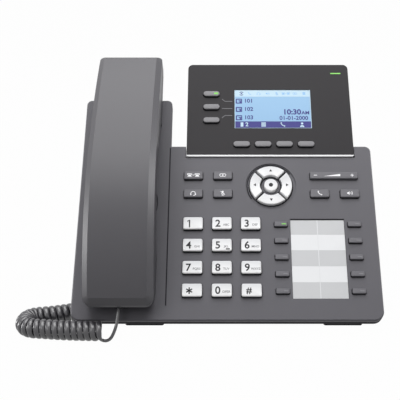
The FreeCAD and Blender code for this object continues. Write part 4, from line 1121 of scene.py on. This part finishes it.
@dataclass
class Handset:
    """Arched handset in two shells, parted along its side, with a flat bevel round its back."""

    middle: float = -70.9
    width: float = 46.0
    bevel: float = 3.8
    ends: Point = (5.7, 197.7)
    corners: Point = (5.0, 3.4)
    corner_steps: int = 6
    steps: int = 40
    back_start: Point = (5.7, 18.3)
    back_rise: Point = (60.0, 38.4)
    back_crest: Point = (110.0, 39.6)
    back_end: Point = (197.7, 18.6)
    seam_low: Point = (6.35, 11.0)
    seam_crest: Point = (92.0, 30.5)
    seam_high: Point = (152.0, 15.0)
    seam_end: Point = (197.7, 8.6)
    arch_high: Point = (147.3, 5.0)
    arch_crest: Point = (96.0, 22.0)
    arch_low: Point = (45.0, 5.0)
    rest: float = 0.3
    flat: Point = (13.0, 195.0)
    top_lip: float = 2.5
    ear: tuple[float, float, float, float] = (147.3, 195.0, -4.2, 20.4)
    ear_corner: float = 5.5
    rim_turn_deg: float = 30.0
    rib_clear: float = 1.0
    sharp_deg: float = 24.0

    def through(self, first: Point, second: Point, third: Point) -> Outline:
        """Points along the arc through three points.

        Args:
            first: where it starts.
            second: a point on it.
            third: where it ends.

        Returns:
            Points along it, without the last.
        """
        (ax, ay), (bx, by), (cx, cy) = first, second, third
        twice = 2 * (ax * (by - cy) + bx * (cy - ay) + cx * (ay - by))
        a, b, c = ax * ax + ay * ay, bx * bx + by * by, cx * cx + cy * cy
        centre = Vector(((a * (by - cy) + b * (cy - ay) + c * (ay - by)) / twice,
                         (a * (cx - bx) + b * (ax - cx) + c * (bx - ax)) / twice))
        return self.sweep(centre, Vector(first), Vector(third))

    def leaving(self, first: Point, toward: Vector, last: Point) -> Outline:
        """Points along the arc that leaves a point in a direction and ends at another.

        Args:
            first: where it starts.
            toward: the direction there.
            last: where it ends.

        Returns:
            Points along it, without the last.
        """
        chord = Vector(last) - Vector(first)
        normal = (chord - toward * chord.dot(toward)).normalized()
        centre = Vector(first) + normal * (chord.length_squared / (2 * chord.dot(normal)))
        return self.sweep(centre, Vector(first), Vector(last))

    def sweep(self, centre: Vector, first: Vector, last: Vector) -> Outline:
        """Points along the shorter arc about a centre.

        Args:
            centre: middle of its circle.
            first: where it starts.
            last: where it ends.

        Returns:
            Points along it, without the last.
        """
        turn = (first - centre).angle_signed(last - centre)
        points = []
        for i in range(self.steps):
            way = Matrix.Rotation(-turn * i / self.steps, 2)
            points.append(tuple(centre + way @ (first - centre)))
        return points

    def back(self) -> Outline:
        """Lay the arched back as two arcs, the second leaving the first without a kink.

        Returns:
            Points along it, from its lower to its upper end.
        """
        first = self.through(self.back_start, self.back_rise, self.back_crest)
        toward = (Vector(self.back_crest) - Vector(first[-1])).normalized()
        return first + self.leaving(self.back_crest, toward, self.back_end) + [self.back_end]

    def seam(self) -> Outline:
        """Points along the parting line, from its lower to its upper end."""
        arc = self.through(self.seam_low, self.seam_crest, self.seam_high)
        return arc + [self.seam_high, self.seam_end]

    @staticmethod
    def height(profile: Outline, along: float) -> float:
        """Height of a profile at a distance along the handset.

        Args:
            profile: its points in order.
            along: the distance.

        Returns:
            The height.
        """
        index = min(max(bisect.bisect_left(profile, (along, 0.0)), 1), len(profile) - 1)
        (low, start), (high, end) = profile[index - 1], profile[index]
        return start + (end - start) * min(max((along - low) / (high - low), 0.0), 1.0)

    def stations(self) -> list[float]:
        """Choose where along the handset its outline is set, close together at the round corners.

        Returns:
            The distances in order.
        """
        (low, high), (near, far) = self.ends, self.corners
        turns = [math.pi / 2 * i / self.corner_steps for i in range(self.corner_steps + 1)]
        first = [low + near * (1 - math.cos(t)) for t in turns]
        last = [high - far * (1 - math.cos(t)) for t in reversed(turns)]
        span = last[0] - first[-1]
        return first + [first[-1] + span * i / self.steps for i in range(1, self.steps)] + last

    def half_width(self, along: float) -> float:
        """Half the width at a place along the handset, drawn in at the round corners.

        Args:
            along: the distance along it.

        Returns:
            Half the width.
        """
        for end, corner in zip(self.ends, self.corners):
            inside = corner - abs(along - end)
            if inside > 0:
                return self.width / 2 - corner + math.sqrt(corner * corner - inside * inside)
        return self.width / 2

    def outer(self) -> BMesh:
        """Make the outer shell: its plan raised from the parting line to the back, with a bevelled edge.

        Returns:
            The shell.
        """
        places, back, seam = self.stations(), self.back(), self.seam()
        last = len(places) - 1
        shape = bmesh.new()
        bmesh.ops.create_grid(shape, x_segments=1, y_segments=last, size=1.0)
        for vert in shape.verts:
            along = places[round((vert.co.y + 1) / 2 * last)]
            side = math.copysign(self.half_width(along), vert.co.x)
            vert.co = (self.middle + side, along, self.height(seam, along))
        grown = bmesh.ops.extrude_face_region(shape, geom=shape.faces[:])["geom"]
        raised = {part for part in grown if isinstance(part, bmesh.types.BMVert)}
        for vert in raised:
            vert.co.z = self.height(back, vert.co.y)
        upper = [e for e in shape.edges if all(v in raised for v in e.verts)]
        rim = [e for e in upper if e.calc_face_angle(0.0) > math.radians(self.rim_turn_deg)]
        low = self.ends[0] + self.corners[0] + self.rib_clear
        high = self.ends[1] - self.corners[1] - self.rib_clear
        ribs = [e for e in upper if e not in rim and not low < e.verts[0].co.y < high]
        bmesh.ops.dissolve_edges(shape, edges=ribs, use_verts=False)
        soften(shape, [e for e in rim if e.is_valid], self.bevel, 1)
        return shape

    def across(self, profile: Outline) -> BMesh:
        """Stretch a side profile across the handset's width.

        Args:
            profile: corners as height up the panel and height out of it.

        Returns:
            The stretched shape.
        """
        shape = plate(profile, -self.width / 2, self.width / 2)
        turned = Matrix(((0, 0, 1, self.middle), (1, 0, 0, 0), (0, 1, 0, 0), (0, 0, 0, 1)))
        bmesh.ops.transform(shape, matrix=turned, verts=shape.verts[:])
        return shape

    @staticmethod
    def side_edges(shape: BMesh, profile: Outline) -> list[bmesh.types.BMEdge]:
        """Find the edges of the two flat sides that run along a stretch of the profile.

        Args:
            shape: the shape they belong to.
            profile: the stretch's corners.

        Returns:
            The edges.
        """
        wanted = {(round(y, 3), round(z, 3)) for y, z in profile}
        found = []
        for edge in shape.edges:
            level = abs(edge.verts[0].co.x - edge.verts[1].co.x) < TOUCH
            if level and all((round(v.co.y, 3), round(v.co.z, 3)) in wanted for v in edge.verts):
                found.append(edge)
        return found

    def inner(self) -> BMesh:
        """Make the inner shell: hollowed grip, ear and mouth ends.

        Returns:
            The shell.
        """
        arch = self.through(self.arch_high, self.arch_crest, self.arch_low)
        high_end = [self.seam_end, (self.ends[1], self.top_lip), (self.flat[1], self.rest)]
        low_end = [(self.flat[0], self.rest), self.seam_low]
        under = high_end[1:] + [(self.arch_high[0], self.rest)] + arch
        under += [self.arch_low, (self.arch_low[0], self.rest), low_end[0]]
        grip = self.across(self.seam() + under)
        for stretch, corner in zip((low_end, high_end), self.corners):
            soften(grip, self.side_edges(grip, stretch), corner, self.corner_steps)
        start, end, floor, half = self.ear
        size, centre = (2 * half, end - start), (self.middle, (start + end) / 2)
        return joined([grip, block(size, centre, floor, self.rest + 1, self.ear_corner)])

    def build(self) -> None:
        """Make both shells."""
        settle("handset_back", self.outer(), Finishes.HANDSET_GREY, "handset",
               stands_for=["handset_outer_shell"], sharp_deg=self.sharp_deg)
        settle("handset_grip", self.inner(), Finishes.HANDSET_DARK, "handset",
               stands_for=["handset_inner_shell"])


class Walk:
    """Distances along a line of points."""

    def __init__(self, line: Sequence[Vector]) -> None:
        """Measure the line.

        Args:
            line: its points in order.
        """
        self.line = list(line)
        self.marks = [0.0]
        for here, after in zip(self.line, self.line[1:]):
            self.marks.append(self.marks[-1] + (after - here).length)
        self.length = self.marks[-1]

    def at(self, distance: float) -> Vector:
        """Find the point at a distance from the start.

        Args:
            distance: how far along the line.

        Returns:
            The point.
        """
        distance = min(max(distance, 0.0), self.length)
        index = min(max(bisect.bisect_left(self.marks, distance), 1), len(self.marks) - 1)
        low, high = self.marks[index - 1], self.marks[index]
        return self.line[index - 1].lerp(self.line[index], (distance - low) / (high - low))

    def heading(self, distance: float, reach: float = 1.5) -> Vector:
        """The direction at a distance from the start."""
        distance = min(max(distance, reach), self.length - reach)
        return (self.at(distance + reach) - self.at(distance - reach)).normalized()

    def bend(self, distance: float, reach: float = 3.0) -> float:
        """The radius of the bend at a distance from the start."""
        turn = self.heading(distance - reach).angle(self.heading(distance + reach))
        return 2 * reach / max(turn, 1e-3)


def smooth_line(points: Sequence[Vector], resolution: int) -> list[Vector]:
    """Read points along the smooth curve that has these points as its controls.

    Args:
        points: control points in order.
        resolution: points read for each control point.

    Returns:
        Points along the curve.
    """
    curve = bpy.data.curves.new("route", "CURVE")
    curve.dimensions = "3D"
    spline = curve.splines.new("NURBS")
    spline.points.add(len(points) - 1)
    for control, point in zip(spline.points, points):
        control.co = (*point, 1.0)
    spline.order_u = 3
    spline.use_endpoint_u = True
    spline.resolution_u = resolution
    holder = bpy.data.objects.new("route", curve)
    mesh = bpy.data.meshes.new_from_object(holder)
    line = [v.co.copy() for v in mesh.vertices]
    bpy.data.objects.remove(holder)
    bpy.data.curves.remove(curve)
    bpy.data.meshes.remove(mesh)
    return line


@dataclass
class CurlyCord:
    """Curly cord from the handset's plug to the base's plug, in table millimetres."""

    strand_width: float = 3.9
    strand_thick: float = 2.1
    squeezed: float = 0.6
    tail_thick: float = 1.8
    cover: float = 0.96
    coil_outer: float = 13.2
    pitch: float = 4.1
    bend_pitch: float = 4.7
    hidden_pitch: float = 8.2
    hidden_from: float = 104.0
    least_gap: float = 0.1
    floor_gap: float = 0.35
    lead: float = 5.0
    join: int = 2
    per_turn: int = 12
    read: int = 3
    axis_read: int = 24
    heading_reach: float = 0.4
    even_over: int = 3
    sides: int = 10
    sharp_deg: float = 60.0
    axis_route: tuple[Point, ...] = (
        (-81.6, -7.7), (-97.0, -7.1), (-110.0, -6.1), (-120.0, -4.7), (-129.4, -3.7), (-134.0, 0.9),
        (-134.0, 7.5), (-129.4, 12.1), (-118.0, 13.7), (-98.0, 20.4), (-77.0, 43.0), (-55.0, 45.5),
        (-34.0, 48.0),
    )
    handset_tail: tuple[Triple, ...] = (
        (-70.9, 0.0, 20.4), (-71.5, -7.0, 13.2), (-73.4, -9.8, 7.6), (-75.6, -10.6, 3.2),
        (-78.4, -10.4, 1.3), (-81.0, -10.0, 1.3),
    )
    base_tail: tuple[Triple, ...] = ((-27.5, 62.5, 1.1), (-23.5, 72.0, 4.5), (-20.5, 76.5, 11.5))
    base_plug_end: Triple = (-20.0, 58.0, -31.0)
    plug_run: float = 12.0
    lift_from: float = -132.0
    lift_to: float = -82.0

    def coil(self) -> tuple[list[Vector], Walk]:
        """Wind the coil round its axis, from its underside.

        Returns:
            Control points of the whole turns, and the axis they go round.
        """
        radius = (self.coil_outer - self.strand_thick) / 2 / math.cos(math.pi / self.per_turn)
        up = Vector((0, 0, 1))
        height = self.coil_outer / 2 + self.floor_gap
        route = [Vector((x, y, height)) for x, y in self.axis_route]
        axis = Walk(smooth_line(route, self.axis_read))
        points, distance = [], 0.0
        while distance < axis.length:
            angle = math.pi + math.tau * len(points) / self.per_turn
            along = axis.heading(distance)
            turned = up * math.cos(angle) + along.cross(up) * math.sin(angle)
            points.append(axis.at(distance) + turned * radius)
            bend = axis.bend(distance)
            pitch = self.hidden_pitch
            if distance < self.hidden_from:
                pitch = min(self.pitch, self.bend_pitch * bend / (bend + radius))
            room = (self.squeezed + self.least_gap) * bend / max(bend - radius, 1.0)
            distance += max(pitch, room) / self.per_turn
        whole = (len(points) - 1) // self.per_turn * self.per_turn + 1
        LOG.info("curly cord has %d turns", whole // self.per_turn)
        return points[:whole], axis

    def line(self) -> tuple[list[Vector], Walk]:
        """Lay the cord's own smooth line, tails and coil together.

        Returns:
            Points along it, and the coil's axis.
        """
        turns, axis = self.coil()
        way_out = (turns[-1] - turns[-2]) * Vector((1, 1, 0))
        plug = TABLE.inverted() @ PANEL @ Vector(self.base_plug_end)
        back = (TABLE.inverted() @ PANEL).to_3x3() @ Vector((0, 0, -1))
        controls = [Vector(p) for p in self.handset_tail]
        controls += turns[self.join:] + [turns[-1] + way_out.normalized() * self.lead]
        controls += [Vector(p) for p in self.base_tail] + [plug + back.normalized() * self.plug_run, plug]
        return smooth_line(controls, self.read), axis

    def widths(self, line: Sequence[Vector]) -> list[float]:
        """Half the strand's width at each point: wide in the coil, narrow in bends, round in the tails.

        Args:
            line: points along the cord.

        Returns:
            A half width for each point.
        """
        turn = self.per_turn * self.read
        rough = []
        for i, here in enumerate(line):
            beside = [line[j] for j in (i - turn, i + turn) if 0 <= j < len(line)]
            room = self.cover * sum((here - other).length for other in beside) / len(beside)
            rough.append(min(max(room, self.squeezed), self.strand_width) / 2)
        first = len(self.handset_tail) * self.read
        last = len(line) - (len(self.base_tail) + 2) * self.read
        for i in list(range(first)) + list(range(last, len(line))):
            rough[i] = self.tail_thick / 2
        even = []
        for i in range(len(rough)):
            near = rough[max(0, i - self.even_over):i + self.even_over + 1]
            even.append(sum(near) / len(near))
        return even

    def tube(self, line: Sequence[Vector], widths: Sequence[float], axis: Walk) -> BMesh:
        """Sweep the strand's oval section along a line, flat side towards the coil's axis.

        Args:
            line: points along the strand.
            widths: half the strand's width at each.
            axis: the coil's axis.

        Returns:
            The closed strand.
        """
        tree = KDTree(len(axis.line))
        for i, point in enumerate(axis.line):
            tree.insert(point, i)
        tree.balance()
        walk = Walk(line)
        shape = bmesh.new()
        before = None
        for point, mark, width in zip(line, walk.marks, widths):
            along = walk.heading(mark, self.heading_reach)
            out = point - tree.find(point)[0]
            out = (out - along * out.dot(along)).normalized() * (self.strand_thick / 2)
            aside = along.cross(out).normalized() * width
            station = Matrix((out, aside, along)).transposed().to_4x4()
            station.translation = point
            if before is None:
                bmesh.ops.create_circle(shape, cap_ends=False, segments=self.sides, radius=1.0,
                                        matrix=station)
                ring = shape.edges[:]
                bmesh.ops.edgeloop_fill(shape, edges=ring)
            else:
                grown = bmesh.ops.extrude_edge_only(shape, edges=ring)["geom"]
                ring = [part for part in grown if isinstance(part, bmesh.types.BMEdge)]
                verts = [part for part in grown if isinstance(part, bmesh.types.BMVert)]
                bmesh.ops.transform(shape, matrix=station @ before.inverted(), verts=verts)
            before = station
        bmesh.ops.edgeloop_fill(shape, edges=ring)
        return shape

    def declare(self, line: Sequence[Vector]) -> None:
        """Measure how long one stretch of the cord is in the frame's metres; the length is not kept.

        Args:
            line: its points, the first where it leaves the object or the stretch before.
        """
        path = [TABLE @ point for point in line]
        Walk(path).length

    def build(self) -> None:
        """Make the front stretch, baked in place and riding on no body, and the stretch that stays with the
        base.
        """
        line, axis = self.line()
        widths = self.widths(line)
        split = min(range(len(line)), key=lambda i: (line[i].x, i))
        front = self.tube(line[:split + 1], widths[:split + 1], axis)
        rest = self.tube(line[split:], widths[split:], axis)
        lifted = settle("curly_cord_front", front, Finishes.CORD, "", TABLE,
                        stands_for=["handset_cord"], sharp_deg=self.sharp_deg)
        still = settle("curly_cord_rest", rest, Finishes.CORD, "base", TABLE,
                       stands_for=["handset_cord"], sharp_deg=self.sharp_deg)
        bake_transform(lifted)
        self.declare(line[:split + 1])
        self.declare(line[split:])


@dataclass
class Solids:
    """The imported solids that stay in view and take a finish."""

    def build(self) -> None:
        """Give every solid the finish of its slot."""
        by_slot = {}
        for finish in Finishes:
            by_slot.setdefault(finish.value.slot, finish)
        for name, node in frame["nodes"].items():
            for holder in node.material_slots:
                slot = holder.material.name.split(".")[0]
                if slot in by_slot:
                    holder.material = by_slot[slot].skin()
            LOG.info("%s takes its finish", name)


@dataclass(frozen=True)
class Lamp:
    """A soft square lamp, in metres and watts."""

    name: str
    hangs: Triple
    target: Triple
    size: float
    watts: float

    def hang(self) -> None:
        """Hang the lamp and point it at its target."""
        light = bpy.data.lights.new(self.name, "AREA")
        light.size = self.size
        light.energy = self.watts
        holder = bpy.data.objects.new(self.name, light)
        holder.location = self.hangs
        way = Vector(self.target) - Vector(self.hangs)
        holder.rotation_euler = way.to_track_quat("-Z", "Y").to_euler()
        bpy.context.scene.collection.objects.link(holder)


@dataclass
class Studio:
    """Pale floor, soft lamps and the camera of the photograph, in metres."""

    lamps: tuple[Lamp, ...] = (
        Lamp("top_light", (-0.02, 0.06, 1.05), (0.0, 0.0, 0.08), 1.1, 16.5),
        Lamp("left_light", (-1.1, 0.05, 0.14), (-0.07, 0.0, 0.08), 0.3, 5.0),
        Lamp("right_light", (1.1, 0.32, 0.5), (-0.05, 0.0, 0.08), 0.3, 6.0),
        Lamp("front_light", (-0.8, -0.95, 0.9), (0.0, 0.0, 0.08), 0.6, 3.2),
    )
    floor_size: float = 6.0
    lens: float = 73.18
    sensor: float = 36.0
    shift: float = -0.058
    eye: Triple = (-0.0027, -0.5457, 0.2695)
    pitch_deg: float = 69.88
    world_level: float = 0.18
    floor_white: float = 0.985
    floor_shade: float = 0.2
    floor_rough: float = 0.9

    def build(self) -> None:
        """Make the floor, the lamps and the camera."""
        self.floor()
        self.world()
        for lamp in self.lamps:
            lamp.hang()
        scene = bpy.context.scene
        scene.view_settings.view_transform = "Standard"
        camera = bpy.data.cameras.new("camera")
        camera.lens = self.lens
        camera.sensor_width = self.sensor
        camera.shift_x = self.shift
        eye = bpy.data.objects.new("camera", camera)
        eye.location = self.eye
        eye.rotation_euler = (math.radians(self.pitch_deg), 0, 0)
        scene.collection.objects.link(eye)
        scene.camera = eye

    @staticmethod
    def seen(tree: bpy.types.NodeTree) -> bpy.types.NodeSocket:
        """One where a ray comes from the camera, a mirror or glass, and zero elsewhere.

        Args:
            tree: the node tree to add it to.

        Returns:
            The socket that carries it.
        """
        path = tree.nodes.new("ShaderNodeLightPath")
        total = path.outputs["Is Camera Ray"]
        for name in ("Is Glossy Ray", "Is Transmission Ray"):
            either = tree.nodes.new("ShaderNodeMath")
            either.operation = "MAXIMUM"
            tree.links.new(total, either.inputs[0])
            tree.links.new(path.outputs[name], either.inputs[1])
            total = either.outputs[0]
        return total

    def floor(self) -> None:
        """Make a wide pale floor that keeps a soft shadow."""
        shape = bmesh.new()
        bmesh.ops.create_grid(shape, x_segments=1, y_segments=1, size=self.floor_size / 2)
        mesh = bpy.data.meshes.new("floor")
        shape.to_mesh(mesh)
        shape.free()
        material = bpy.data.materials.new("floor_paper")
        material.use_nodes = True
        tree = material.node_tree
        paper = tree.nodes["Principled BSDF"]
        paper.inputs["Base Color"].default_value = (self.floor_shade,) * 3 + (1,)
        paper.inputs["Roughness"].default_value = self.floor_rough
        white = tree.nodes.new("ShaderNodeEmission")
        part = tree.nodes.new("ShaderNodeMath")
        part.operation = "MULTIPLY"
        part.inputs[1].default_value = self.floor_white
        mix = tree.nodes.new("ShaderNodeMixShader")
        tree.links.new(self.seen(tree), part.inputs[0])
        tree.links.new(part.outputs[0], mix.inputs[0])
        tree.links.new(paper.outputs[0], mix.inputs[1])
        tree.links.new(white.outputs[0], mix.inputs[2])
        tree.links.new(mix.outputs[0], tree.nodes["Material Output"].inputs["Surface"])
        mesh.materials.append(material)
        made = bpy.data.objects.new("floor", mesh)
        bpy.context.scene.collection.objects.link(made)

    def world(self) -> None:
        """Light the room evenly, and show it white."""
        room = bpy.data.worlds.new("room")
        bpy.context.scene.world = room
        room.use_nodes = True
        tree = room.node_tree
        light = tree.nodes["Background"]
        light.inputs["Color"].default_value = (1, 1, 1, 1)
        light.inputs["Strength"].default_value = self.world_level
        white = tree.nodes.new("ShaderNodeBackground")
        white.inputs["Color"].default_value = (1, 1, 1, 1)
        mix = tree.nodes.new("ShaderNodeMixShader")
        tree.links.new(self.seen(tree), mix.inputs[0])
        tree.links.new(light.outputs[0], mix.inputs[1])
        tree.links.new(white.outputs[0], mix.inputs[2])
        tree.links.new(mix.outputs[0], tree.nodes["World Output"].inputs["Surface"])


def main() -> None:
    """Build the telephone's pieces in order and report each one."""
    logging.basicConfig(level=logging.INFO, format="%(message)s")
    Studio().build()
    CurlyCord().build()
    Solids().build()
    Handset().build()
    KeyField(
        dial=KeyStyle(size=(13.5, 9.1), corner=1.3, rise=2.4, edge=0.75, finish=Finishes.WHITE_KEY),
        function=KeyStyle(size=(13.2, 6.1), corner=1.0, rise=2.0, edge=0.6, finish=Finishes.GREY_KEY),
        memory=KeyStyle(size=(9.1, 3.6), corner=0.7, rise=1.7, edge=0.45, finish=Finishes.GREY_KEY),
        pill=KeyStyle(size=(12.0, 4.35), corner=2.1, rise=2.8, edge=0.6, finish=Finishes.PALE_KEY,
                      skin_under=-1.0),
    ).build()
    ArrowPad().build()
    VolumeRocker().build()
    ScreenHead().build()
    LabelCard().build()
    ShadeLines().build()
    bpy.context.view_layer.update()


if __name__ == "__main__":
    main()
